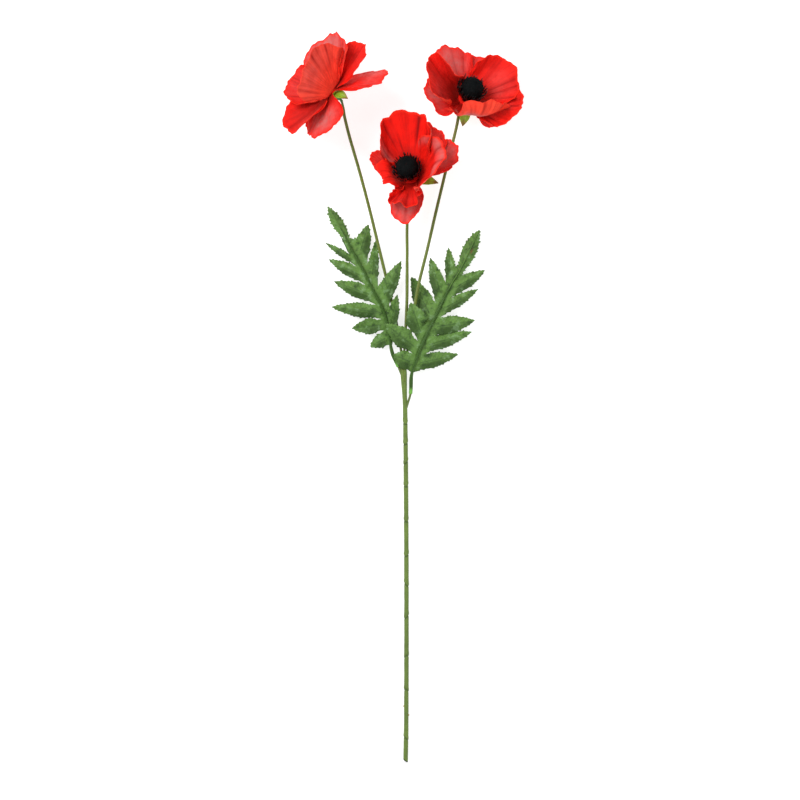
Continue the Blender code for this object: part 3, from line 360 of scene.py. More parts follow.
class Skin:
    """Points in millimetres, faces and point marks of one piece, gathered part by part."""

    def __init__(self, *marks):
        self.points, self.faces, self.count = [], [], 0
        self.marks = {name: [] for name in marks}

    def add(self, points, faces, **marks):
        """Adds points (any shape × 3) with a list of face arrays; a mark is a number or one per point."""
        points = np.asarray(points, float)
        shape = points.shape[:-1]
        self.faces += [np.asarray(face) + self.count for face in faces]
        for name, found in self.marks.items():
            found.append(np.broadcast_to(marks.get(name, 0.0), shape).reshape(-1))
        self.points.append(points.reshape(-1, 3))
        self.count += len(self.points[-1])

    def piece(self, name, material):
        """The finished object at the origin, with its marks as point attributes."""
        mesh = bpy.data.meshes.new(name)
        points = np.concatenate(self.points) * MM
        mesh.vertices.add(len(points))
        mesh.vertices.foreach_set("co", points.astype(np.float32).ravel())
        sizes = np.concatenate([np.full(len(face), face.shape[1]) for face in self.faces])
        loops = np.concatenate([face.ravel() for face in self.faces])
        mesh.loops.add(len(loops))
        mesh.loops.foreach_set("vertex_index", loops.astype(np.int32))
        mesh.polygons.add(len(sizes))
        starts = np.concatenate([[0], np.cumsum(sizes)[:-1]])
        mesh.polygons.foreach_set("loop_start", starts.astype(np.int32))
        mesh.polygons.foreach_set("use_smooth", np.ones(len(sizes), bool))
        mesh.update(calc_edges=True)
        for mark, values in self.marks.items():
            attribute = mesh.attributes.new(mark, "FLOAT", "POINT")
            attribute.data.foreach_set("value", np.concatenate(values).astype(np.float32))
        mesh.materials.append(material)
        obj = bpy.data.objects.new(name, mesh)
        bpy.context.scene.collection.objects.link(obj)
        return obj

    def cloth(self, grid, thickness, **marks):
        """A closed blade: the grid moved half the thickness both ways along its normals and joined at
        the four edges. The lower face carries the mark outside."""
        rows, columns = grid.shape[:2]
        lift = normals_of(grid) * thickness / 2
        ring = np.concatenate([grid + lift, (grid - lift)[:, ::-1]], 1)
        wide = 2 * columns
        j = np.arange(columns - 1)
        first = np.stack([j + 1, j, wide - 1 - j, wide - 2 - j], 1)
        base = (rows - 1) * wide
        last = np.stack([base + j, base + j + 1, base + wide - 2 - j, base + wide - 1 - j], 1)
        both = {name: np.concatenate([value, value[:, ::-1]], 1) for name, value in marks.items()}
        both["outside"] = np.concatenate([np.zeros((rows, columns)), np.ones((rows, columns))], 1)
        self.add(ring, [grid_quads(rows, wide, wrap=True), first, last], **both)

    def tubes(self, paths, radii, reference, **marks):
        """Closed tubes: rings of points round each path, in the plane across it, and flat ends.
        paths is tubes × stations × 3, radii is tubes × stations × sides, and marks follow radii. The
        first point of a ring lies towards the reference."""
        count, stations, sides = radii.shape
        ahead = unit(np.gradient(paths, axis=1))
        reference = np.broadcast_to(reference, paths.shape)
        side = unit(reference - (reference * ahead).sum(-1, keepdims=True) * ahead)
        up = np.cross(ahead, side)
        angle = np.arange(sides) * 2 * np.pi / sides
        ring = np.cos(angle)[:, None] * side[:, :, None] + np.sin(angle)[:, None] * up[:, :, None]
        points = paths[:, :, None] + radii[..., None] * ring
        quads = grid_quads(stations, sides, wrap=True)
        base = (np.arange(count) * stations * sides)[:, None]
        body = (quads[None] + base[:, :, None]).reshape(-1, 4)
        start = np.arange(sides)[None] + base
        end = (stations - 1) * sides + np.arange(sides)[::-1][None] + base
        self.add(points, [body, start[:, ::-1], end[:, ::-1]], **marks)

    def tube(self, path, s, radii, **marks):
        """One closed tube along a path, at the distances s; radii is stations × sides."""
        self.tubes(path.at(s)[None], radii[None], UP, **{name: np.broadcast_to(value, radii.shape)[None]
                                                        for name, value in marks.items()})


class Path:
    """A smooth curve through points, measured along its length: each run is a cubic whose end slopes
    follow the neighbouring points."""

    def __init__(self, points, steps=24):
        p = np.array(points, float)
        ends = np.vstack([2 * p[0] - p[1], p, 2 * p[-1] - p[-2]])
        t = np.linspace(0, 1, steps, endpoint=False)[:, None]
        a, b, c, d = (ends[k:len(ends) - 3 + k, None] for k in range(4))
        whole = np.linalg.norm(c - b, axis=-1, keepdims=True)
        m1 = (c - a) * whole / np.linalg.norm(c - a, axis=-1, keepdims=True)
        m2 = (d - b) * whole / np.linalg.norm(d - b, axis=-1, keepdims=True)
        runs = ((2 * t**3 - 3 * t**2 + 1) * b + (t**3 - 2 * t**2 + t) * m1
                + (3 * t**2 - 2 * t**3) * c + (t**3 - t**2) * m2)
        self.points = np.vstack([runs.reshape(-1, 3), p[-1:]])
        gaps = np.linalg.norm(np.diff(self.points, axis=0), axis=1)
        self.along = np.concatenate([[0], np.cumsum(gaps)])
        self.length = self.along[-1]
        self.ahead = unit(np.gradient(self.points, self.along, axis=0))

    def at(self, s):
        """Points at the distances s."""
        return np.stack([np.interp(s, self.along, column) for column in self.points.T], -1)

    def direction(self, s):
        """Unit tangents at the distances s."""
        return unit(np.stack([np.interp(s, self.along, column) for column in self.ahead.T], -1))


def pleats_of(shape, seed):
    """Where the pleats of a petal lie across it, how wide and deep they are, where they start and how
    far they sway."""
    chance = np.random.default_rng(seed)
    count, depth = shape["pleats"]
    return dict(place=(np.arange(count) + 0.5 + chance.uniform(-0.35, 0.35, count)) / count * 2 - 1,
                width=chance.uniform(0.35, 0.95, count), full=depth * chance.uniform(0.25, 1.0, count),
                start=chance.uniform(0.0, 0.45, count), sway=chance.uniform(-0.06, 0.06, count))


def petal(shape, u, v, pleats):
    """Points of one petal in the frame of its bloom. Polar reach grows from the hub to the rim with u,
    the angle spreads with v from the root's half angle to the petal's own. The rim's reach falls from
    the length in the middle to the corner's share of it at the sides; it is notched where a pleat ends
    and runs in rounded scallops. Then the flat petal is bent over its middle line and across it."""
    rad = np.radians
    length, corner = shape["length"], shape["corner"]
    ease = np.sin(v * np.pi / 2)
    angle = ease * (ROOT_HALF_ANGLE + (rad(shape["spread"]) - ROOT_HALF_ANGLE) * smooth(u / 0.45))
    phase = rad(shape["phase"])
    rim = length * (corner + (1 - corner) * np.cos(v * np.pi / 2) ** 0.8)
    rim = rim * (1 - shape["point"] * np.abs(ease))
    rim = rim * (1 + 0.02 * np.sin(9 * v + phase) + 0.015 * np.sin(23 * v + 2 * phase))
    rim = rim + 0.45 * np.sin(57 * v + 3 * phase) * np.cos(v * np.pi / 2)
    ends = (v[..., None] - pleats["place"] - pleats["sway"]) * length * math.sin(rad(shape["spread"]))
    rim = rim - 0.9 * (pleats["full"] * np.exp(-np.abs(ends) / 1.1)).sum(-1)
    count, height = shape["scallop"]
    rim = rim + height * (np.abs(np.sin(count * np.pi / 2 * v + phase)) ** 0.7 - 0.6)
    reach = HUB + u * (rim - HUB)
    return bent_petal(shape, u, v, reach * np.sin(angle), reach * np.cos(angle))


def bent_petal(shape, u, v, x, y):
    """A flat petal's points, x across and y out, bent into the frame of its bloom. The middle line rises
    by the tilt and goes on turning by the bend, and a recurve turns its end back out. Across that line
    the blade turns by the cup and the folds; the roll tips it as a whole and the rim waves."""
    rad = np.radians
    length = shape["length"]
    line = np.linspace(0, 1.25 * length, 400)
    share = np.clip((line - HUB) / (length - HUB), 0, 1.3)
    rise = rad(shape["tilt"]) * smooth((line - 0.9 * HUB) / 4)
    rise = rise + rad(shape["bend"]) * share ** shape["bend_power"]
    if "recurve" in shape:
        start, by = shape["recurve"]
        rise = rise - rad(by) * smooth((share - start) / (1.05 - start))
    middle = (rise[:-1] + rise[1:]) / 2
    step = line[1] - line[0]
    out = np.interp(y, line, np.concatenate([[0], np.cumsum(np.cos(middle) * step)]))
    high = np.interp(y, line, np.concatenate([[0], np.cumsum(np.sin(middle) * step)]))
    slope = np.interp(y, line, rise)
    growth = smooth((y - HUB) / 12)

    def turn(width, growth):
        """The turn across the blade at a distance from its middle line."""
        total = rad(shape["cup"]) * width / HALF_PETAL
        for side, fold in ((1, "fold_left"), (-1, "fold_right")):
            if fold in shape:
                start, by, soft = shape[fold]
                total = total + side * rad(by) * smooth((side * width / HALF_PETAL - start) / soft + 0.5)
        return total * growth

    parts = (np.arange(32) + 0.5) / 32
    turns = turn(x[..., None] * parts, growth[..., None])
    across, over = np.cos(turns).mean(-1) * x, np.sin(turns).mean(-1) * x
    roll = rad(shape["roll"]) * smooth((y - HUB) / 8)
    across, over = (across * np.cos(roll) - over * np.sin(roll),
                    across * np.sin(roll) + over * np.cos(roll))
    lean = turn(x, growth) + roll
    wave = u**2 * np.sin(shape["waves"] * np.pi * v + rad(shape["phase"])) * shape["ruffle"]
    across, over = across - wave * np.sin(lean), over + wave * np.cos(lean)
    forward, height = out - over * np.sin(slope), high + over * np.cos(slope)
    az = rad(shape["az"])
    return np.stack([forward * np.cos(az) - across * np.sin(az),
                     forward * np.sin(az) + across * np.cos(az), height], -1)


def petal_relief(shape, u, v, pleats, settings, seed):
    """Height over the plain petal, in millimetres, and the mask of its creases. Pleats are narrow
    valleys that run from the hub to the rim; crinkles are drawn-out noise; the rim has quick waves; a
    vein is a ridge along the middle."""
    chance = np.random.default_rng(seed + 9)
    wide = shape["length"] * math.sin(math.radians(shape["spread"])) * (0.25 + 0.75 * u)
    gap = (v[..., None] - pleats["place"] - pleats["sway"] * u[..., None]) * wide[..., None]
    valley = np.exp(-np.abs(gap) / (pleats["width"] * (0.7 + 0.8 * u[..., None])))
    crease = (valley * pleats["full"] * smooth((u[..., None] - pleats["start"]) / 0.35)).sum(-1)
    crease = np.clip(crease * smooth(u / 0.2), 0, 1.6)
    x, y = v * wide, u * shape["length"]
    crinkle = drift(x / 3.6 + 9, y / 9 + 9, seed + 1) + 0.5 * drift(x / 1.7 + 5, y / 4.5 + 5, seed + 2)
    turns = chance.uniform(2.2, 3.4), chance.uniform(5.0, 7.5)
    phases = chance.uniform(0, 2 * np.pi, 2)
    rim = 0.6 * np.sin(turns[0] * np.pi * v + phases[0]) + 0.4 * np.sin(turns[1] * np.pi * v + phases[1])
    relief = -settings.pleat / MM * crease
    relief = relief + settings.crinkle / MM * crinkle * smooth(u / 0.25)
    relief = relief + settings.ruffle / MM * shape["frill"] * rim * smooth((u - 0.55) / 0.45)
    ridge = np.exp(-((v * wide) ** 2) / 0.5) * smooth(u / 0.2) * shape["vein"]
    return relief + 0.5 * ridge, np.maximum(crease, 0.7 * ridge)


def bloom_frame(bloom):
    """Columns: azimuth 0, azimuth 90 and the axis of a bloom, and its origin."""
    turn, lean = math.radians(bloom["axis"]), math.radians(bloom["lean"])
    axis = np.array([math.cos(lean) * math.cos(turn), math.cos(lean) * math.sin(turn), math.sin(lean)])
    first = np.array(bloom["side"], float)
    first = unit(first - (first @ axis) * axis)
    return np.stack([first, np.cross(axis, first), axis], 1), np.array(bloom["origin"]) + SHIFT


def place_bloom(points, bloom):
    """Bloom points in the frame of the model."""
    turn, origin = bloom_frame(bloom)
    return points @ turn.T + origin


def dress(piece, node):
    """The piece rides on the only body and stands for its CAD node, which it hides."""
    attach(piece, "root")
    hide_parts(node)
    return piece


def ring_tube(skin, bloom, rings, sides, **marks):
    """A turned body about the bloom's axis: rings of (height, radius), in order, closed into a loop."""
    rings = np.array(rings, float)
    angle = np.arange(sides) * 2 * np.pi / sides
    points = np.stack([rings[:, 1:] * np.cos(angle), rings[:, 1:] * np.sin(angle),
                       np.repeat(rings[:, :1], sides, 1)], -1)
    quads = grid_quads(len(rings) + 1, sides, wrap=True) % (len(rings) * sides)
    skin.add(place_bloom(points, bloom), [quads], **marks)


# ---------------------------------------------------------------- materials


def put(tree, kind, place, inputs=None, **settings):
    """Adds a node. An input takes a value or the socket that feeds it."""
    made = tree.nodes.new(kind)
    made.location = place
    for key, value in settings.items():
        setattr(made, key, value)
    for key, value in (inputs or {}).items():
        socket = made.inputs[key]
        if isinstance(value, bpy.types.NodeSocket):
            tree.links.new(value, socket)
        else:
            socket.default_value = value
    return made


def mixed(tree, place, factor, first, second, kind="MIX"):
    """A colour mix; returns its colour socket."""
    return put(tree, "ShaderNodeMix", place, {0: factor, 6: first, 7: second}, data_type="RGBA",
               blend_type=kind).outputs[2]


def sum_of(tree, place, operation, first, second, clamp=False):
    """A Math node; returns its value socket."""
    return put(tree, "ShaderNodeMath", place, {0: first, 1: second}, operation=operation,
               use_clamp=clamp).outputs[0]


def added(tree, place, value, share, rest):
    """A Math node for value × share + rest; returns its value socket."""
    return put(tree, "ShaderNodeMath", place, {0: value, 1: share, 2: rest},
               operation="MULTIPLY_ADD").outputs[0]


def mark(tree, name, place):
    """The value of a point mark."""
    return put(tree, "ShaderNodeAttribute", place, attribute_name=name).outputs["Fac"]


def colour(rgb):
    """The four values of an opaque colour."""
    return (*rgb, 1.0)


def new_group(name, inputs, outputs):
    """A shader node group with float inputs (name, default) and outputs (name, socket type)."""
    group = bpy.data.node_groups.new(name, "ShaderNodeTree")
    for label, value in inputs:
        made = group.interface.new_socket(name=label, in_out="INPUT", socket_type="NodeSocketFloat")
        made.default_value = value
    for label, kind in outputs:
        group.interface.new_socket(name=label, in_out="OUTPUT", socket_type=kind)
    return group, group.nodes.new("NodeGroupInput"), group.nodes.new("NodeGroupOutput")


def weave_group():
    """Cloth weave: two crossed sets of threads over Object coordinates, as a height and a tone."""
    group = bpy.data.node_groups.get("Cloth weave")
    if group:
        return group
    group, given, result = new_group(
        "Cloth weave", [("Threads per metre", 1400.0), ("Slubs", 0.35)],
        [("Height", "NodeSocketFloat"), ("Tone", "NodeSocketFloat")])
    given.location, result.location = (-900, 0), (700, 0)
    place = put(group, "ShaderNodeTexCoord", (-900, 300)).outputs["Object"]
    stretch = put(group, "ShaderNodeVectorMath", (-700, 300), {0: place}, operation="SCALE")
    group.links.new(given.outputs["Threads per metre"], stretch.inputs["Scale"])
    threads = []
    for k, turn in enumerate(((0.0, 0.0, 0.6), (0.0, 0.0, 2.17))):
        turned = put(group, "ShaderNodeMapping", (-500, 300 - 250 * k), {"Vector": stretch.outputs[0],
                     "Rotation": turn})
        thread = put(group, "ShaderNodeTexWave", (-300, 300 - 250 * k), {"Vector": turned.outputs[0],
                     "Scale": 0.3, "Distortion": 0.8, "Detail": 1.0}, wave_type="BANDS")
        threads.append(thread.outputs["Fac"])
    both = sum_of(group, (-100, 200), "MAXIMUM", *threads)
    slub = put(group, "ShaderNodeTexNoise", (-300, -250), {"Vector": stretch.outputs[0], "Scale": 0.12,
               "Detail": 3.0}).outputs["Fac"]
    slubbed = sum_of(group, (100, -100), "MULTIPLY", slub, given.outputs["Slubs"])
    height = sum_of(group, (300, 100), "ADD", both, slubbed)
    group.links.new(height, result.inputs["Height"])
    group.links.new(slub, result.inputs["Tone"])
    return group


def drift_group():
    """Tone drift: soft blotches of two sizes over Object coordinates, round 0.5."""
    group = bpy.data.node_groups.get("Tone drift")
    if group:
        return group
    group, given, result = new_group(
        "Tone drift", [("Blotches per metre", 60.0), ("Contrast", 1.0)], [("Tone", "NodeSocketFloat")])
    given.location, result.location = (-700, 0), (500, 0)
    place = put(group, "ShaderNodeTexCoord", (-700, 250)).outputs["Object"]
    noise = put(group, "ShaderNodeTexNoise", (-400, 150), {"Vector": place, "Detail": 4.0,
                "Roughness": 0.6})
    group.links.new(given.outputs["Blotches per metre"], noise.inputs["Scale"])
    centred = sum_of(group, (-150, 100), "SUBTRACT", noise.outputs["Fac"], 0.5)
    scaled = sum_of(group, (50, 100), "MULTIPLY", centred, given.outputs["Contrast"])
    tone = sum_of(group, (250, 100), "ADD", scaled, 0.5, clamp=True)
    group.links.new(tone, result.inputs["Tone"])
    return group


def effect(tree, group, place, **values):
    """A node group in a material, with its own values."""
    node = put(tree, "ShaderNodeGroup", place, node_tree=group)
    for key, value in values.items():
        node.inputs[key.replace("_", " ")].default_value = value
    return node


def new_material(name, constants):
    """A material with a Principled BSDF whose constants are set on its sockets. Returns it with its
    node tree and its shader, or with None for both if it was made before."""
    material = bpy.data.materials.get(name)
    if material:
        return material, None, None
    material = bpy.data.materials.new(name)
    material.use_nodes = True
    tree = material.node_tree
    shader = tree.nodes["Principled BSDF"]
    for key, value in constants.items():
        shader.inputs[key].default_value = value
    return material, tree, shader


def bump(tree, shader, height, distance, strength, place):
    """A Bump node from a height socket to the shader's normal."""
    node = put(tree, "ShaderNodeBump", place, {"Height": height, "Strength": strength,
               "Distance": distance})
    tree.links.new(node.outputs["Normal"], shader.inputs["Normal"])


def petal_material(settings):
    """Dyed petal cloth: red inside, coral outside, with ribs that fan out, a painted greyish pink sheen on
    patches, painted shade in the creases, a darker dye with painted shade at the root, and a painted
    highlight along the rim of the inside face."""
    material, tree, shader = new_material("Petal cloth", {
        "Sheen Weight": 0.05, "Sheen Roughness": 0.45, "Sheen Tint": colour((1.0, 0.4, 0.3)),
        "Specular IOR Level": 0.12})
    if tree is None:
        return material
    weave = effect(tree, weave_group(), (-1300, -500), Threads_per_metre=1500.0, Slubs=0.6)
    tone = effect(tree, drift_group(), (-1300, -200), Blotches_per_metre=90.0, Contrast=1.6)
    outside, crease = mark(tree, "outside", (-1300, 400)), mark(tree, "crease", (-1300, 250))
    pale, edge = mark(tree, "pale", (-1300, 100)), mark(tree, "edge", (-1300, 0))
    inside_red, outside_red = colour(settings.inside_colour), colour(settings.outside_colour)
    base = mixed(tree, (-1000, 400), outside, inside_red, outside_red)
    shade = mixed(tree, (-800, 400), tone.outputs["Tone"],
                  colour((0.8, 0.7, 0.7)), colour((1.25, 1.35, 1.35)))
    base = mixed(tree, (-600, 400), 1.0, base, shade, "MULTIPLY")
    fan = put(tree, "ShaderNodeCombineXYZ", (-1300, -1100), {"X": mark(tree, "rib", (-1500, -1050)),
              "Y": mark(tree, "reach", (-1500, -1200))})
    ribs = put(tree, "ShaderNodeTexNoise", (-1100, -1100), {"Vector": fan.outputs[0], "Scale": 0.9,
               "Detail": 3.0, "Roughness": 0.6}).outputs["Fac"]
    ribbed = put(tree, "ShaderNodeMapRange", (-900, -1100), {"Value": ribs, "From Min": 0.3,
                 "From Max": 0.7, "To Min": 0.0, "To Max": 1.0}).outputs["Result"]
    lines = mixed(tree, (-700, 600), ribbed, colour((0.82, 0.66, 0.66)), colour((1.16, 1.3, 1.3)))
    base = mixed(tree, (-520, 500), 1.0, base, lines, "MULTIPLY")
    # Painted sheen: the pale patch, broken up by the weave, turns the red greyish pink.
    nap = sum_of(tree, (-1000, 0), "MULTIPLY", pale, weave.outputs["Tone"])
    nap = sum_of(tree, (-800, 0), "MULTIPLY", nap, 1.9, clamp=True)
    base = mixed(tree, (-450, 300), nap, base, colour(settings.painted_sheen_colour))
    # Painted shade: the pleat creases turn dark red, and the middle vein takes the same dark red.
    groove = sum_of(tree, (-600, 100), "MULTIPLY", crease, 0.85, clamp=True)
    base = mixed(tree, (-300, 300), groove, base, colour((0.3, 0.002, 0.002)))
    # Painted highlight: a bright red line along the rim of the inside face, weaker on the outside face.
    inner_face = put(tree, "ShaderNodeMapRange", (-1000, 150), {"Value": outside, "To Min": 0.9,
                     "To Max": 0.2}).outputs["Result"]
    edge = sum_of(tree, (-300, 0), "MULTIPLY", edge, inner_face)
    base = mixed(tree, (-150, 300), edge, base, colour((0.92, 0.022, 0.007)))
    # Darker towards the hub on the inside face: painted shade over a darker dye there.
    root = sum_of(tree, (-150, 100), "MULTIPLY", mark(tree, "root", (-1300, -100)), inner_face,
                  clamp=True)
    base = mixed(tree, (0, 300), root, base, colour((0.26, 0.004, 0.002)))
    tree.links.new(base, shader.inputs["Base Color"])
    rough = put(tree, "ShaderNodeMapRange", (-450, -100), {"Value": weave.outputs["Tone"],
                "To Min": 0.55, "To Max": 0.8})
    tree.links.new(rough.outputs["Result"], shader.inputs["Roughness"])
    folds = effect(tree, drift_group(), (-1300, -800), Blotches_per_metre=420.0, Contrast=1.0)
    height = added(tree, (-700, -600), folds.outputs["Tone"], 3.0, weave.outputs["Height"])
    height = added(tree, (-500, -700), ribbed, 2.2, height)
    bump(tree, shader, height, 0.00012, 0.55, (-300, -400))
    return material


def plain_material(name, rgb, dark, roughness, blotches, grain, constants, tints=()):
    """A moulded or taped finish: two tones of one colour by soft blotches, fine grain in the bump and
    in the roughness. Blotches and grain are counts per metre. Each of the tints is a point mark, the
    colour it gives and how strongly."""
    material, tree, shader = new_material(name, constants)
    if tree is None:
        return material
    tone = effect(tree, drift_group(), (-1000, 200), Blotches_per_metre=blotches, Contrast=2.0)
    fine = effect(tree, drift_group(), (-1000, -200), Blotches_per_metre=grain, Contrast=1.5)
    base = mixed(tree, (-700, 300), tone.outputs["Tone"], colour(dark), colour(rgb))
    for k, (label, tint, strength) in enumerate(tints):
        share = sum_of(tree, (-700 + 200 * k, 0), "MULTIPLY", mark(tree, label, (-1000, 0)), strength,
                       clamp=True)
        base = mixed(tree, (-500 + 200 * k, 300), share, base, colour(tint))
    tree.links.new(base, shader.inputs["Base Color"])
    rough = put(tree, "ShaderNodeMapRange", (-400, -50), {"Value": fine.outputs["Tone"],
                "To Min": roughness - 0.1, "To Max": roughness + 0.1})
    tree.links.new(rough.outputs["Result"], shader.inputs["Roughness"])
    bump(tree, shader, fine.outputs["Tone"], 0.00015, 0.4, (-300, -400))
    return material


def leaf_material(settings):
    """Printed leaf cloth: two greens, painted shade on the lower halves and along the rib, dark veins, a
    painted highlight and painted shade on the two sides of the crumples, a brown spot and the weave in
    the bump."""
    material, tree, shader = new_material("Leaf cloth", {
        "Sheen Weight": 0.2, "Sheen Roughness": 0.4, "Sheen Tint": colour((0.8, 1.0, 0.75)),
        "Specular IOR Level": 0.35})
    if tree is None:
        return material
    weave = effect(tree, weave_group(), (-1200, -500), Threads_per_metre=1500.0, Slubs=0.5)
    tone = effect(tree, drift_group(), (-1200, -200), Blotches_per_metre=110.0, Contrast=1.8)
    leaf = settings.leaf_colour
    shade = mixed(tree, (-900, 300), tone.outputs["Tone"], colour([0.72 * c for c in leaf]),
                  colour([1.25 * c for c in leaf]))
    # Painted shade on the lower halves of the lobes, along the rib and on one half of the last lobe.
    low = sum_of(tree, (-900, 0), "MULTIPLY", mark(tree, "shade", (-1200, 0)), 0.95, clamp=True)
    shade = mixed(tree, (-700, 300), low, shade,
                  colour([0.3 * leaf[0], 0.36 * leaf[1], 0.18 * leaf[2]]))
    vein = sum_of(tree, (-700, 0), "MULTIPLY", mark(tree, "vein", (-1200, 150)), 0.85, clamp=True)
    shade = mixed(tree, (-500, 300), vein, shade, colour((0.028, 0.075, 0.012)))
    folds = effect(tree, drift_group(), (-1200, -800), Blotches_per_metre=170.0, Contrast=1.6)
    # Painted highlight on one side of each crumple and painted shade on the other, from the noise of the
    # bump.
    creases = ((0.58, 0.85, 0.6, (0.25, 0.42, 0.2)), (0.46, 0.18, 0.85, (0.016, 0.05, 0.006)))
    for k, (start, end, full, rgb) in enumerate(creases):
        share = put(tree, "ShaderNodeMapRange", (-900, -250 - 250 * k), {"Value": folds.outputs["Tone"],
                    "From Min": start, "From Max": end, "To Min": 0.0, "To Max": full})
        shade = mixed(tree, (-400 + 120 * k, 150), share.outputs["Result"], shade, colour(rgb))
    spot = mark(tree, "spot", (-1200, 300))
    shade = mixed(tree, (-100, 300), spot, shade, colour((0.16, 0.05, 0.02)))
    tree.links.new(shade, shader.inputs["Base Color"])
    rough = put(tree, "ShaderNodeMapRange", (-450, -100), {"Value": weave.outputs["Tone"],
                "To Min": 0.5, "To Max": 0.75})
    tree.links.new(rough.outputs["Result"], shader.inputs["Roughness"])
    height = added(tree, (-700, -600), folds.outputs["Tone"], 10.0, weave.outputs["Height"])
    bump(tree, shader, height, 0.0001, 0.6, (-300, -400))
    return material


# ---------------------------------------------------------------- operators


class POPPY_OT_petals(Operator):
    """Makes the two petal layers of each bloom"""

    bl_idname = "poppy.petals"
    bl_label = "Petals"

    def execute(self, context):
        settings = context.scene.poppy_petals
        cloth_red = petal_material(settings)
        # Rows and columns of a petal lie closer together towards its rim and its sides.
        u = np.linspace(0, 1, settings.rows)[:, None] ** 0.9
        v = np.sin(np.linspace(-1, 1, settings.columns) * 1.45)[None] / math.sin(1.45)
        u, v = np.broadcast_arrays(u, v)
        for number, (side, bloom) in enumerate(BLOOMS.items()):
            for layer, height in (("outer", 0.0), ("inner", INNER_LAYER)):
                skin = Skin("outside", "crease", "pale", "edge", "root", "rib", "reach")
                for k, shape in enumerate(bloom[layer]):
                    seed = 1000 * number + 100 * k + (50 if layer == "inner" else 0)
                    grid, marks = self.blade({**PLAIN_PETAL, **shape}, u, v, settings, seed)
                    grid[..., 2] += height + (k - 1.5) * LAYER_STEP
                    marks["rib"] = RIB_FAN * v + RIB_JUMP * k
                    skin.cloth(place_bloom(grid, bloom)[:, ::-1], settings.cloth / MM,
                               **{name: value[:, ::-1] for name, value in marks.items()})
                low, high = height - DISC_HALF, height + DISC_HALF
                ring_tube(skin, bloom, [(low, DISC_RADIUS), (high, DISC_RADIUS), (high, BORE_RADIUS),
                                        (low, BORE_RADIUS)], 40)
                piece = skin.piece(f"cloth_petals_{layer}_{side}", cloth_red)
                dress(piece, f"petals_{layer}_{side}")
        return {"FINISHED"}

    def blade(self, shape, u, v, settings, seed):
        """One petal with its relief, and its marks: creases, the painted sheen patch as a soft oval, the
        rim for a painted highlight as a soft step near the end and the sides, the root's painted shade over
        a darker dye, and the reach from the hub."""
        pleats = pleats_of(shape, seed)
        grid = petal(shape, u, v, pleats)
        relief, crease = petal_relief(shape, u, v, pleats, settings, seed)
        grid = grid - normals_of(grid) * relief[..., None]
        out, over, far, wide, strength = shape["pale"]
        pale = strength * np.exp(-(((u - out) / far) ** 2) - ((v - over) / wide) ** 2)
        edge = np.maximum(smooth((u - 0.94) / 0.05), smooth((np.abs(v) - 0.965) / 0.03))
        root = 1 - smooth(u / shape["deep"])
        return grid, dict(crease=crease, pale=pale, edge=edge, root=root, reach=u)


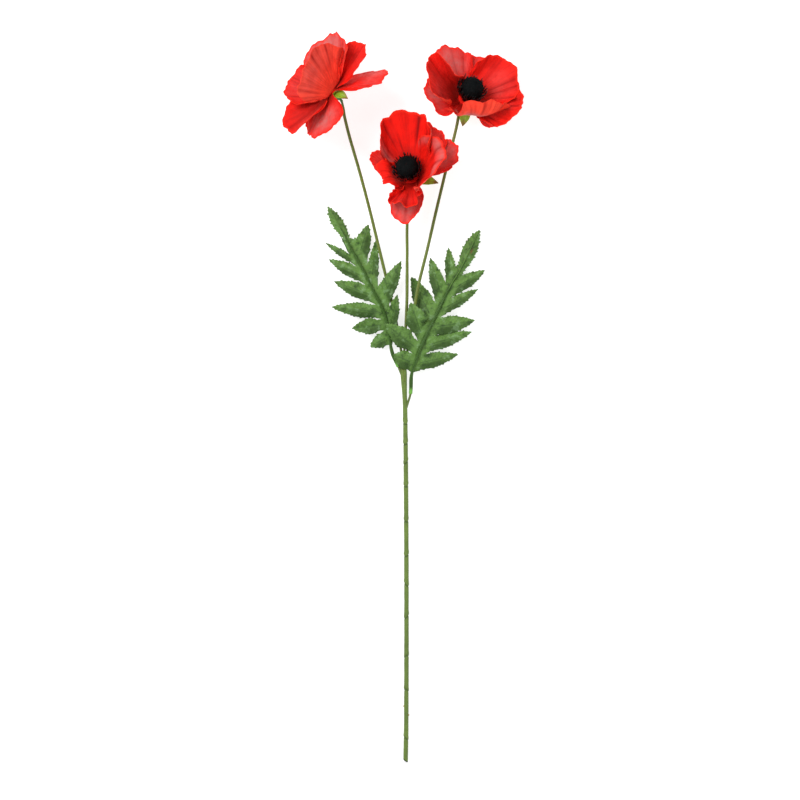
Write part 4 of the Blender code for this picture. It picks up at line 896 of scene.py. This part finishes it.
class POPPY_OT_centres(Operator):
    """Makes the flocked seed heads and the stamens round them"""

    bl_idname = "poppy.centres"
    bl_label = "Centres"

    def execute(self, context):
        settings = context.scene.poppy_centres
        rgb = tuple(settings.colour)
        flock = plain_material("Seed flock", [2.2 * c for c in rgb], rgb, 0.8, 300.0, 2500.0,
                               {"Specular IOR Level": 0.12})
        black = plain_material("Stamen plastic", [1.8 * c for c in rgb], rgb, 0.45, 300.0, 2500.0,
                               {"Specular IOR Level": 0.4})
        for number, (side, bloom) in enumerate(BLOOMS.items()):
            self.seed_head(side, bloom, settings, flock, 40 + number)
            self.stamens(side, bloom, settings, black, 60 + number)
        return {"FINISHED"}

    def seed_head(self, side, bloom, settings, material, seed):
        """A sphere roughened by noise, with cone-shaped tufts spread evenly over it by a spiral."""
        skin = Skin()
        radius = bloom["ball"] - TUFT_ROOM
        rows, sides = 72, 128
        theta = np.linspace(0.12, np.pi - 0.02, rows)[:, None]
        phi = np.arange(sides)[None] * 2 * np.pi / sides
        rough = 0.28 * drift(theta * 10, phi * 32 / np.pi, seed)
        rough = rough + 0.16 * drift(theta * 20, phi * 64 / np.pi, seed + 1, 128)
        reach = radius + rough
        points = np.stack([reach * np.sin(theta) * np.cos(phi), reach * np.sin(theta) * np.sin(phi),
                           BALL_HEIGHT - reach * np.cos(theta)], -1)
        start, end = np.arange(sides)[None, ::-1], ((rows - 1) * sides + np.arange(sides))[None]
        skin.add(place_bloom(points, bloom), [grid_quads(rows, sides, wrap=True), start, end])
        chance = np.random.default_rng(seed)
        count = settings.tufts
        level = 1 - 2 * (np.arange(count) + 0.5) / count
        turn = np.arange(count) * np.pi * (3 - math.sqrt(5))
        away = np.stack([np.sqrt(1 - level**2) * np.cos(turn), np.sqrt(1 - level**2) * np.sin(turn),
                         level], -1)
        away = unit(away + chance.normal(0, 0.04, (count, 3)))
        lean = unit(away + chance.normal(0, 0.35, (count, 3)))
        across = unit(np.cross(away, chance.normal(0, 1, (count, 3))))
        third = np.cross(away, across)
        angle = np.arange(3) * 2 * np.pi / 3
        ring = np.cos(angle)[:, None] * across[:, None] + np.sin(angle)[:, None] * third[:, None]
        foot = (away * (radius - 0.3))[:, None] + 0.3 * ring
        long = settings.tuft / MM * chance.uniform(0.4, 1.0, (count, 1))
        tip = (away * (radius - 0.2) + lean * long)[:, None]
        points = np.concatenate([foot, tip], 1)
        points[..., 2] += BALL_HEIGHT
        corner = np.array([(0, 1, 3), (1, 2, 3), (2, 0, 3), (2, 1, 0)])
        faces = (corner[None] + 4 * np.arange(count)[:, None, None]).reshape(-1, 3)
        skin.add(place_bloom(points, bloom), [faces])
        piece = skin.piece(f"flocked_seed_head_{side}", material)
        dress(piece, f"seed_head_{side}")

    def stamens(self, side, bloom, settings, material, seed):
        """A collar round the stalk and curved hairs that rise round the seed head to small tips."""
        skin = Skin()
        ring_tube(skin, bloom, [(1.95, 3.5), (3.2, 3.7), (5.0, 3.5), (6.6, 3.0), (6.6, BORE_RADIUS),
                                (1.95, BORE_RADIUS)], 32)
        chance = np.random.default_rng(seed)
        count = settings.stamens
        az = (np.arange(count) + chance.uniform(-0.4, 0.4, count)) * 2 * np.pi / count
        far = chance.uniform(0.78, 1.0, count)
        tall = chance.uniform(0.8, 1.25, count)
        t = np.linspace(0, 1, len(HAIR_RADII))
        line = Path([(out, high, 0.0) for out, high in HAIR_LINE])
        reach, high = line.at(t * line.length)[:, :2].T
        foot_reach, foot_high = HAIR_LINE[0]
        reach = foot_reach + (reach - foot_reach) * far[:, None]
        high = foot_high + (high - foot_high) * tall[:, None]
        bend = az[:, None] + chance.uniform(-0.25, 0.25, (count, 1)) * t**2
        paths = np.stack([reach * np.cos(bend), reach * np.sin(bend), high], -1)
        turn, _ = bloom_frame(bloom)
        around = np.stack([-np.sin(az), np.cos(az), 0 * az], -1) @ turn.T
        radii = np.broadcast_to(np.array(HAIR_RADII)[None, :, None], (count, len(HAIR_RADII), 5))
        skin.tubes(place_bloom(paths, bloom), radii, around[:, None])
        piece = skin.piece(f"stamen_hairs_{side}", material)
        dress(piece, f"stamens_{side}")


class POPPY_OT_calyces(Operator):
    """Makes the collar and the four sepals under each bloom"""

    bl_idname = "poppy.calyces"
    bl_label = "Calyces"

    def execute(self, context):
        lime = tuple(context.scene.poppy_greens.calyx_colour)
        material = plain_material("Calyx plastic", lime, [0.7 * c for c in lime], 0.5, 150.0, 1800.0,
                                  {"Specular IOR Level": 0.4},
                                  [("tip", (0.22, 0.11, 0.02), 1.0), ("vein", (0.1, 0.25, 0.02), 0.6)])
        for number, (side, bloom) in enumerate(BLOOMS.items()):
            skin = Skin("outside", "tip", "vein")
            ring_tube(skin, bloom, [(-0.75, 3.7), (-0.75, BORE_RADIUS), (-6.2, BORE_RADIUS), (-6.2, 1.9),
                                    (-5.2, 2.15), (-4.0, 2.3), (-3.0, 2.8), (-2.2, 3.4), (-1.4, 3.7)], 40)
            for k, shape in enumerate(bloom["sepals"]):
                grid, tip, vein = self.sepal(shape, 80 + 10 * number + k)
                skin.cloth(place_bloom(grid, bloom), 0.45, tip=tip, vein=vein)
            piece = skin.piece(f"sepals_{side}", material)
            dress(piece, f"calyx_{side}")
        return {"FINISHED"}

    def sepal(self, shape, seed):
        """A narrow leaflet: width swells and narrows along it, folded up along its vein, arched over
        its length, with waved edges and three pressed veins. Returns it with its tip and veins."""
        t = np.linspace(0, 1, 40)[:, None]
        c = np.linspace(-1, 1, 25)[None]
        az, tilt = math.radians(shape["az"]), math.radians(shape["tilt"])
        width = (1.2 + 3.1 * shape.get("wide", 1.0) * np.sin(np.pi * t**0.9)) * (1 - t**8 * 0.7)
        across = width * c
        along = shape["length"] * t + 0 * across
        up = 0.28 * np.abs(across) + 2.0 * np.sin(np.pi * t)
        up = up + 0.25 * drift(along / 3, across / 1.5, seed)
        groove = np.exp(-((across / 0.3) ** 2))
        groove = groove + 0.5 * np.exp(-(((np.abs(across) / width - 0.5) / 0.12) ** 2))
        up = up - 0.15 * groove
        out = SEPAL_FOOT[0] + along * math.cos(tilt) - up * math.sin(tilt)
        high = SEPAL_FOOT[1] + along * math.sin(tilt) + up * math.cos(tilt)
        grid = np.stack([out * math.cos(az) - across * math.sin(az),
                         out * math.sin(az) + across * math.cos(az), high], -1)
        tip = smooth((t - 0.62 + 0.12 * drift(along / 3, across / 2, seed + 1)) / 0.3)
        return grid, tip, np.broadcast_to(groove, across.shape)


def stalk_lines():
    """The stalks' centre lines, from inside the top of the stem to the blooms."""
    stem = Path(STEM_PATH)
    lines = {}
    for side, degrees in BUNDLE_TURNS.items():
        s = np.array([stem.length - 14, stem.length - 7, stem.length])
        ahead = stem.direction(s)
        across = unit(np.cross(UP, ahead))
        up = np.cross(ahead, across)
        turn = math.radians(degrees)
        start = stem.at(s) + BUNDLE_SPREAD * (math.cos(turn) * across + math.sin(turn) * up)
        frame_of_bloom, origin = bloom_frame(BLOOMS[side])
        ends = [origin - SHIFT + frame_of_bloom[:, 2] * h for h in (-12.0, -8.0, -3.0, 4.0, 12.0)]
        lines[side] = Path(np.vstack([start, STALK_PATHS[side], ends]) + SHIFT)
    return lines


class POPPY_OT_stalks(Operator):
    """Makes the three plastic stalks"""

    bl_idname = "poppy.stalks"
    bl_label = "Stalks"

    def execute(self, context):
        olive = tuple(context.scene.poppy_greens.stalk_colour)
        # The lighter stripe along each stalk's ridge is a painted highlight.
        material = plain_material("Stalk plastic", olive, [0.72 * c for c in olive], 0.45, 120.0, 1500.0,
                                  {"Specular IOR Level": 0.45},
                                  [("teal", (0.03, 0.22, 0.09), 1.0), ("seam", (0.2, 0.26, 0.08), 0.7)])
        for number, (side, line) in enumerate(stalk_lines().items()):
            skin = Skin("teal", "seam")
            s = np.linspace(0, line.length, 420)
            sides = 20
            angle = np.arange(sides) * 2 * np.pi / sides
            # A low ridge along the upper left side of each stalk, facing the key light, with a painted
            # highlight on it.
            seam = np.exp(-((np.abs(np.sin(angle / 2 + 0.35)) / 0.12) ** 2))
            lumps = 0.05 * drift(s[:, None] / 5, angle[None] * 4 / np.pi, 120 + number, 8)
            # Under the bloom the stalk is slim and teal, with a knot where the thicker run ends.
            left = line.length - s
            knot = 0.28 * np.exp(-(((left - 24) / 1.2) ** 2))
            swell = 0.36 * smooth((s - 30) / 30) * smooth((left - 27) / 6)
            radii = STALK_RADIUS + lumps + 0.07 * seam[None] + (knot + swell)[:, None]
            skin.tube(line, s, radii, teal=smooth((28 - left) / 6)[:, None], seam=seam)
            piece = skin.piece(f"plastic_stalk_{side}", material)
            dress(piece, f"stalk_{side}")
        return {"FINISHED"}


class POPPY_OT_stem(Operator):
    """Makes the taped stem with the two leaf stalks that leave it"""

    bl_idname = "poppy.stem"
    bl_label = "Stem"

    def execute(self, context):
        green = tuple(context.scene.poppy_greens.stem_colour)
        # The lap mark darkens the tape laps and paints shade into the lengthwise creases.
        material = plain_material("Stem tape", green, [0.6 * c for c in green], 0.55, 130.0, 1700.0,
                                  {"Specular IOR Level": 0.35, "Sheen Weight": 0.1},
                                  [("lap", (0.045, 0.085, 0.012), 0.95),
                                   ("olive", (0.1, 0.14, 0.03), 1.0),
                                   ("nub", (0.3, 0.2, 0.04), 1.0),
                                   ("cut", (0.02, 0.035, 0.01), 1.0)])
        skin = Skin("lap", "olive", "nub", "cut")
        path = Path(np.array(STEM_PATH) + SHIFT)
        s = np.linspace(0, path.length, 900)
        sides = 40
        angle = np.arange(sides) * 2 * np.pi / sides
        radii, lap = self.wrap(path, s, angle)
        radii = radii * (1 - 0.25 * smooth((0.8 - s) / 0.8)[:, None] ** 2)
        skin.tube(path, s, radii, lap=lap, cut=smooth((2.0 - s) / 1.5)[:, None])
        # The cut is slanted: the last stretch is sheared along the stem by its place across it.
        slant = skin.points[0].reshape(len(s), sides, 3)
        slant[..., 1] += (1.5 - 0.6 * (slant[..., 0] - 3.8)) * smooth((8 - s) / 8)[:, None]
        for number, leaf in enumerate(LEAVES.values()):
            self.peg(skin, leaf, 160 + number)
        for y, x in GLUE_NUBS:
            self.nub(skin, path, y, x)
        piece = skin.piece("taped_stem", material)
        dress(piece, "stem")
        return {"FINISHED"}

    def wrap(self, path, s, angle):
        """Radius round and along the bundle, and the dark of its tape laps with painted shade in its
        creases:
        three lobes that swell towards the top, a pinch and a swell at each tape lap that runs slightly
        askew, two lengthwise creases, fine wrinkles."""
        s, angle = s[:, None], angle[None]
        top = smooth((s - (path.length - 30)) / 24)
        radius = STEM_RADIUS - 0.1 + (STEM_TOP_RADIUS - STEM_RADIUS) * top
        three = 0.5 + 0.5 * np.cos(3 * (angle - math.radians(60)))
        lobes = 0.2 + 0.55 * top
        radius = radius - lobes * (1 - three) ** 2 + 0.08 * lobes
        laps = np.interp(np.array(TAPE_LAPS), path.points[:, 1] - SHIFT[1], path.along)
        askew = s[..., None] - laps - 1.6 * np.sin(angle[..., None] + laps)
        lap = np.exp(-((askew / 0.75) ** 2)).sum(-1) * (1 - 0.6 * top)
        swell = np.exp(-(((askew - 2.2) / 1.6) ** 2)).sum(-1) * (1 - 0.6 * top)
        wrinkle = 0.07 * drift(s / 5, angle * 8 / np.pi, 140, 16)
        wrinkle = wrinkle + 0.035 * drift(s / 1.1, angle * 16 / np.pi, 141, 32)
        beside = [np.mod(angle - at + np.pi, 2 * np.pi) - np.pi for at in CREASE_TURNS]
        creases = sum(np.exp(-((turn / 0.1) ** 2)) for turn in beside)
        creases = creases * (1 - 0.7 * top) * (0.7 + 0.3 * drift(s / 9, 0 * angle, 142))
        radius = radius + 0.24 - 0.3 * lap + 0.26 * swell - 0.14 * creases
        # The creases add painted shade to the dark of the laps.
        return radius + wrinkle, np.clip(lap + 0.45 * creases, 0, 1)

    def peg(self, skin, leaf, seed):
        """The olive leaf stalk from the stem into the socket: a slim tube with small lumps."""
        path = Path(np.array(leaf["rib"]) + SHIFT)
        s = np.linspace(0, leaf["socket"] + SOCKET_DEPTH - 1.0, 90)
        angle = np.arange(16) * 2 * np.pi / 16
        lumps = 0.05 * drift(s[:, None] / 2, angle * 4 / np.pi, seed, 8)
        skin.tube(path, s, PEG_RADIUS + 0.15 * smooth((6 - s) / 6)[:, None] + lumps, olive=0.8)

    def nub(self, skin, path, y, x):
        """A tiny knob of glue at the side of the stem: rings along a short line, largest halfway."""
        s = np.interp(y, path.points[:, 1] - SHIFT[1], path.along)
        t = np.linspace(0, 1, 9)
        centre = path.at(s) + np.array([x * 0.7, 0.0, 0.3])
        line = centre + np.array([math.copysign(1.4, x), 0.6, 0.2]) * t[:, None]
        radii = 0.15 + 0.62 * np.sin(np.pi * (0.1 + 0.85 * t)) ** 0.6
        skin.tubes(line[None], np.repeat(radii[:, None], 12, 1)[None], UP, nub=1.0)


class POPPY_OT_leaves(Operator):
    """Makes the two cloth leaf blades"""

    bl_idname = "poppy.leaves"
    bl_label = "Leaf blades"

    def execute(self, context):
        settings = context.scene.poppy_greens
        material = leaf_material(settings)
        for number, (side, leaf) in enumerate(LEAVES.items()):
            piece = LeafBlade(leaf, settings, 200 + 20 * number).piece(f"cloth_leaf_{side}", material)
            dress(piece, f"leaf_blade_{side}")
        return {"FINISHED"}


class LeafBlade:
    """The cloth of one leaf: lobes on both sides of the rib that share their edges, crumpled and then
    given their thickness. Each grid runs from the rib out, with a column for each station along it."""

    def __init__(self, leaf, settings, seed):
        self.leaf, self.seed = leaf, seed
        self.tooth, self.vein = settings.tooth / MM, settings.vein / MM
        self.path = Path(np.array(leaf["rib"]))
        self.grids, self.marks = [], []
        end = self.path.length - 0.4
        sides = []
        for side, key, start in ((1, "first", leaf["terminal"][0]), (-1, "second", leaf["terminal"][1])):
            roots = [lobe["root"] for lobe in leaf[key]]
            edges = [leaf["blade"]] + [(a + b) / 2 for a, b in zip(roots, roots[1:])] + [start]
            sides.append((side, key, roots, edges))
        knots = sorted({value for _, _, roots, edges in sides for value in roots + edges} | {end})
        parts = [np.linspace(a, b, max(2, int(math.ceil((b - a) / 1.0))), endpoint=False)
                 for a, b in zip(knots, knots[1:])]
        self.stations = np.concatenate([*parts, [end]])
        for side, key, roots, edges in sides:
            for k, lobe in enumerate(leaf[key]):
                self.lobe(side, {**PLAIN_LOBE, **lobe}, edges[k], roots[k], edges[k + 1])
            self.terminal(side, edges[-1], end)

    def rib(self, s):
        """Points of the blade under the rib, with the level directions along and to the left of it."""
        s = np.asarray(s, float)
        flat = unit(self.path.direction(s) * np.array([1.0, 1.0, 0.0]))
        drop = rib_radius(s, self.path.length) + RIB_CLEAR - 0.4
        point = self.path.at(s) - drop[..., None] * UP
        return point, flat, np.stack([-flat[..., 1], flat[..., 0], 0 * drop], -1)

    def web(self, side):
        """How far the cuts between the lobes stay from the rib on one side."""
        return self.leaf["web"][0 if side > 0 else 1]

    def sinus(self, side, s):
        """The inner end of the cut between two lobes: beside the rib, nearer to it at the foot."""
        point, flat, left = self.rib(s)
        reach = self.web(side) * (0.3 + 0.7 * float(smooth((s - self.leaf["blade"]) / 14)))
        return point + side * left * reach + flat * CUT_RISE

    def saw(self, distance):
        """Teeth that rise slowly and drop quickly towards the tip, of uneven heights."""
        share = np.mod(distance / TOOTH_PITCH, 1.0)
        uneven = 0.75 + 0.45 * np.sin(2.4 * np.floor(distance / TOOTH_PITCH) + self.seed)
        return np.where(share < 0.75, share / 0.75, (1 - share) / 0.25) * uneven

    def lobe(self, side, lobe, low, root, high):
        """A lobe over the stretch of rib from low to high, and the web of cloth that joins it to the
        rib. Its foot is an arc between the two cuts; from there it follows its vein to the tip."""
        s = self.stations[(self.stations >= low - 1e-6) & (self.stations <= high + 1e-6)]
        share = np.where(s > root, (s - root) / (high - root), (s - root) / (root - low))
        q_low, q_high = self.sinus(side, low), self.sinus(side, high)
        rib, tip = self.rib(s)[0], np.array(lobe["tip"])
        outward = unit(tip - (q_low + q_high) / 2) * CUT_RISE
        foot = q_low + (q_high - q_low) * ((share + 1) / 2)[:, None]
        foot = foot + outward * (1 - share**2)[:, None]
        grid, veins, shade = self.lance(lobe, share, (q_low + q_high) / 2 + outward, tip, q_high - q_low)
        steps = np.linspace(0, 1, 7)[:-1, None, None]
        web = rib + (foot - rib) * steps
        bulge = 4 * steps[..., 0] * (1 - steps[..., 0])
        web[..., 2] += 0.9 * bulge * drift(web[..., 0] / 3.5, web[..., 1] / 3.5, self.seed + 5)
        # A painted shade along the rib that fades out across the web.
        near = np.broadcast_to(1.0 - 1.9 * steps[..., 0], web.shape[:2]).clip(0)
        self.keep(side, np.concatenate([web, foot[None], grid[1:]]),
                  vein=np.concatenate([0 * near, veins]), shade=np.concatenate([near, shade]))

    def lance(self, lobe, share, start, tip, gap):
        """The blade of a lobe: its width swells a little and then shrinks towards the tip, its halves
        fold down along the vein, it twists and arches, with saw teeth along both edges and pressed side
        veins. share runs from −1 to 1 across it. Returns the grid, the veins and the lower half's
        shade."""
        vein = tip - start
        length = np.linalg.norm(vein[:2])
        flat = np.array([vein[0], vein[1], 0.0]) / length
        square = np.array([-flat[1], flat[0], 0.0])
        if square @ gap < 0:
            square = -square
        count = max(30, int(length / 0.68))
        a = (np.arange(count) + 1)[:, None] / count
        turn = smooth(a / 0.4)
        swell = 1 - 0.18 * smooth(a / 0.12) + 0.14 * np.sin(np.pi * np.minimum(a / 0.7, 1))
        outline = (1 - a**3) ** 0.9 * swell
        width = lobe["full"] * abs(square @ gap) / 2 * outline
        half = ((1 - turn) * outline)[..., None] * gap / 2 + (turn * width)[..., None] * square
        grid = start + vein * a[..., None] + share[None, :, None] * half
        edge = smooth((np.abs(share) - 0.7) / 0.3)[None]
        tooth = self.tooth * (self.saw(a * length + 0.6 * np.sign(share)) - 0.35) * (1 - 0.3 * a)
        tooth = tooth * edge * smooth(a / 0.05) * smooth((1 - a) / 0.04)
        grid = grid + (np.sign(share) * tooth)[..., None] * square + (0.5 * tooth)[..., None] * flat
        distance = np.abs(share) * width
        fold, twist = (math.tan(math.radians(lobe[name])) for name in ("roof", "twist"))
        lift = (twist * share * width - fold * distance) * turn
        lift = lift + lobe["arch"] * np.sin(np.pi * a) * (1 - 0.5 * a)
        main = np.exp(-((distance / 0.45) ** 2)) * (1 - 0.6 * a)
        lines = np.mod((a * length - 1.1 * distance) / 4.2, 1.0)
        branch = np.exp(-(((lines - 0.5) / 0.085) ** 2)) * smooth((width - 1.0) / 2) * (1 - edge * 0.5)
        veins = np.clip(main + 0.6 * branch * smooth(a / 0.1), 0, 1)
        puff = 0.25 * np.abs(np.sin(np.pi * lines)) * smooth(distance / 1.5) * smooth((width - 1.0) / 3)
        grid[..., 2] += lift - self.vein * veins * smooth(a / 0.1) + puff * smooth(a / 0.15)
        grid[..., 2] += 0.8 * drift(grid[..., 0] / 6, grid[..., 1] / 6, self.seed + 5) * smooth(a / 0.25)
        grid[-1] = tip + share[:, None] * square * 0.35
        # Painted shade on the lower half of the lobe.
        shade = smooth((0.1 - share[None]) / 0.5) * (0.35 + 0.65 * smooth((0.75 - a) / 0.4))
        shade = shade * smooth(a / 0.1)
        return grid, veins, shade

    def terminal(self, side, start, end):
        """Half of the last lobe: its width swells and narrows along the rib, with saw teeth."""
        s = self.stations[(self.stations >= start - 1e-6) & (self.stations <= end + 1e-6)]
        s = np.unique(np.concatenate([s, s[:-1] + np.diff(s) / 2]))
        point, flat, left = self.rib(s)
        a = (s - start) / (end - start)
        calm = smooth(a / 0.1)
        swell = np.sin(np.pi * (0.16 + 0.84 * np.clip(a, 0, 1)) ** 1.25).clip(0) ** 0.8
        width = np.maximum(self.leaf["tip_width"] * swell * calm + self.web(side) * (1 - calm), 0.3)
        c = np.linspace(0, 1, 22)[:, None]
        edge = smooth((c - 0.7) / 0.3)
        tooth = 1.3 * self.tooth * (self.saw(s - start) - 0.35) * calm * smooth((1 - a) / 0.05)
        distance = width * c
        lines = np.mod(((s - start) - distance) / 4.0, 1.0)
        veins = 0.6 * np.exp(-(((lines - 0.5) / 0.09) ** 2)) * smooth(c / 0.2)
        grid = point + side * left * (distance + tooth * edge)[..., None]
        grid = grid + flat * (CUT_RISE * c + 0.4 * tooth * edge)[..., None]
        puff = 0.2 * np.abs(np.sin(np.pi * lines)) * smooth(distance / 1.5)
        grid[..., 2] += (puff - 0.22 * distance - self.vein * veins) * smooth(a / 0.12)
        spot = np.exp(-(((s - start - 24) / 2.2) ** 2) - ((distance - 1.9) / 0.9) ** 2)
        # One half of the last lobe takes a light painted shade.
        self.keep(-side, grid, vein=veins, shade=0 * veins + 0.3 * (side < 0),
                  spot=self.leaf["brown"] * spot * (side < 0))

    def keep(self, side, grid, **marks):
        """Keeps a grid with its marks, wound so that its faces look up."""
        turned = slice(None, None, -1 if side < 0 else 1)
        self.grids.append(grid[:, turned])
        self.marks.append({name: marks.get(name, 0 * grid[..., 0])[:, turned] for name in LEAF_MARKS})

    def piece(self, name, material):
        """Joins the grids where they share points, crumples the cloth and gives it its thickness."""
        points = np.concatenate([grid.reshape(-1, 3) for grid in self.grids])
        faces, base = [], 0
        for grid in self.grids:
            faces.append(grid_quads(*grid.shape[:2])[:, ::-1] + base)
            base += grid.shape[0] * grid.shape[1]
        faces = np.concatenate(faces)
        _, first, index = np.unique(np.round(points, 3), axis=0, return_index=True, return_inverse=True)
        points, faces = points[first] + SHIFT, index.reshape(-1)[faces]
        x, y = points[:, 0], points[:, 1]
        crumple = 0.28 * drift(x / 4, y / 4, self.seed + 2)
        points[:, 2] += crumple + 0.16 * drift(x / 1.8, y / 1.8, self.seed + 3)
        whole = (faces != np.roll(faces, 1, axis=1)).all(1)
        skin = Skin(*LEAF_MARKS)
        skin.add(points, [faces[whole]], **{
            mark: np.concatenate([kept[mark].reshape(-1) for kept in self.marks])[first]
            for mark in LEAF_MARKS})
        obj = skin.piece(name, material)
        solid = obj.modifiers.new("Cloth thickness", "SOLIDIFY")
        solid.thickness = 0.45 * MM
        solid.offset = 0.0
        return obj


def rib_radius(s, length):
    """Radius of a leaf rib at the distance s."""
    return RIB_RADIUS - 0.75 * np.clip((s - 20) / (length - 20), 0.0, 1.0)


class POPPY_OT_ribs(Operator):
    """Makes the plastic leaf ribs with their sockets"""

    bl_idname = "poppy.ribs"
    bl_label = "Leaf ribs"

    def execute(self, context):
        green = tuple(context.scene.poppy_greens.rib_colour)
        material = plain_material("Rib plastic", green, (0.018, 0.055, 0.004), 0.45, 150.0, 1500.0,
                                  {"Specular IOR Level": 0.3},
                                  [("bright", (0.16, 0.42, 0.06), 1.0),
                                   ("flank", (0.09, 0.21, 0.03), 0.5)])
        for number, (side, leaf) in enumerate(LEAVES.items()):
            skin = Skin("bright", "flank")
            path = Path(np.array(leaf["rib"]) + SHIFT)
            mouth, length = leaf["socket"], path.length
            s = np.linspace(mouth, length - 2.0, 420)
            sides = 20
            angle = np.arange(sides) * 2 * np.pi / sides
            socket = smooth((mouth + SOCKET_DEPTH + 3.5 - s) / 3.5)
            radius = rib_radius(s, length) + (SOCKET_RADIUS - RIB_RADIUS) * socket
            radius = radius + 0.55 * smooth((leaf["blade"] + 6 - s) / 12) * (1 - socket)
            radius = radius * np.sqrt(smooth((length - 1.2 - s) / 3.0))
            # The last stretch is half as thick and takes the colour of the flanks.
            fine = smooth((s / length - leaf["rib_end"]) / 0.06)
            radius = radius * (1 - 0.5 * fine)
            level = np.abs(np.cos(angle))[None] ** 4
            lumps = 0.05 * drift(s[:, None] / 3, angle * 4 / np.pi, 180 + number, 8)
            skin.tube(path, s, radius[:, None] * (1 - 0.12 * level) + lumps,
                      bright=smooth((mouth + 6.5 - s) / 4)[:, None],
                      flank=np.maximum(1 - level, 2.0 * fine[:, None]))
            piece = skin.piece(f"plastic_rib_{side}", material)
            dress(piece, f"leaf_rib_{side}")
        return {"FINISHED"}


class POPPY_OT_wires(Operator):
    """Gives the steel wires their finish"""

    bl_idname = "poppy.wires"
    bl_label = "Wires"

    def execute(self, context):
        steel = plain_material("Wire steel", (0.5, 0.5, 0.52), (0.36, 0.36, 0.38), 0.35, 400.0, 3000.0,
                               {"Metallic": 1.0})
        for side in BLOOMS:
            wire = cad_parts[f"wire_{side}"]
            wire.data.materials.clear()
            wire.data.materials.append(steel)
        return {"FINISHED"}


class POPPY_OT_stage(Operator):
    """Sets the pale table, the soft lights and the camera that looks down"""

    bl_idname = "poppy.stage"
    bl_label = "Stage"

    def execute(self, context):
        settings = context.scene.poppy_stage
        skin = Skin()
        line = np.linspace(-TABLE_HALF, TABLE_HALF, 3)
        i, j = np.meshgrid(line, line, indexing="ij")
        skin.add(np.stack([j, i, 0 * i + TABLE_LEVEL], -1), [grid_quads(3, 3)])
        table = plain_material("Table", (0.55, 0.55, 0.55), (0.53, 0.53, 0.53), 0.8, 4.0, 300.0,
                               {"Specular IOR Level": 0.1})
        glow = table.node_tree.nodes["Principled BSDF"].inputs
        glow["Emission Color"].default_value = WHITE
        glow["Emission Strength"].default_value = settings.table_glow
        floor = skin.piece("table", table)
        world = context.scene.world or bpy.data.worlds.new("Surroundings")
        context.scene.world = world
        world.use_nodes = True
        back = world.node_tree.nodes["Background"]
        back.inputs["Color"].default_value = WHITE
        back.inputs["Strength"].default_value = settings.fill
        self.light("Key light", (-1.1, 1.0, 1.9), 1.2, settings.key_power)
        self.light("Fill light", (1.1, -0.6, 1.6), 1.4, settings.key_power * 0.25)
        # The default view transform greys strong reds.
        context.scene.view_settings.view_transform = "Standard"
        data = bpy.data.cameras.new("Camera")
        camera = bpy.data.objects.new("Camera", data)
        context.scene.collection.objects.link(camera)
        camera.location = (*VIEW_CENTRE, settings.camera_height)
        data.sensor_width = SENSOR_WIDTH
        data.lens = SENSOR_WIDTH * settings.camera_height / settings.view_width
        data.clip_end = 50.0
        context.scene.camera = camera
        return {"FINISHED"}

    def light(self, name, place, size, power):
        """A square area light that faces the spray."""
        data = bpy.data.lights.new(name, "AREA")
        data.size, data.energy = size, power
        lamp = bpy.data.objects.new(name, data)
        aim = Vector((0.0, 0.05, 0.0)) - Vector(place)
        lamp.matrix_world = Matrix.Translation(place) @ aim.to_track_quat("-Z", "Y").to_matrix().to_4x4()
        bpy.context.scene.collection.objects.link(lamp)


STEPS = (POPPY_OT_petals, POPPY_OT_centres, POPPY_OT_calyces, POPPY_OT_stalks, POPPY_OT_stem,
         POPPY_OT_leaves, POPPY_OT_ribs, POPPY_OT_wires, POPPY_OT_stage)


class POPPY_PT_spray(Panel):
    """Lists the steps and their settings"""

    bl_idname = "POPPY_PT_spray"
    bl_label = "Poppy Spray"
    bl_space_type = "VIEW_3D"
    bl_region_type = "UI"
    bl_category = "Poppy"

    def draw(self, context):
        for owner in ("poppy_petals", "poppy_centres", "poppy_greens", "poppy_stage"):
            settings = getattr(context.scene, owner)
            box = self.layout.box()
            for name in settings.bl_rna.properties.keys():
                if name not in {"rna_type", "name"}:
                    box.prop(settings, name)
        for step in STEPS:
            self.layout.operator(step.bl_idname)


GROUPS = (("poppy_petals", PetalSettings), ("poppy_centres", CentreSettings),
          ("poppy_greens", GreenSettings), ("poppy_stage", StageSettings))


def register():
    """Registers the settings, the steps and the panel."""
    for name, group in GROUPS:
        bpy.utils.register_class(group)
        setattr(bpy.types.Scene, name, PointerProperty(type=group))
    for item in (*STEPS, POPPY_PT_spray):
        bpy.utils.register_class(item)


def unregister():
    """Takes the panel, the steps and the settings away again."""
    for item in reversed((*STEPS, POPPY_PT_spray)):
        bpy.utils.unregister_class(item)
    for name, group in reversed(GROUPS):
        delattr(bpy.types.Scene, name)
        bpy.utils.unregister_class(group)


def main():
    """Registers the add-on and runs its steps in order."""
    register()
    for step in STEPS:
        group, name = step.bl_idname.split(".")
        getattr(getattr(bpy.ops, group), name)()
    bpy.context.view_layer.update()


if __name__ == "__main__":
    main()
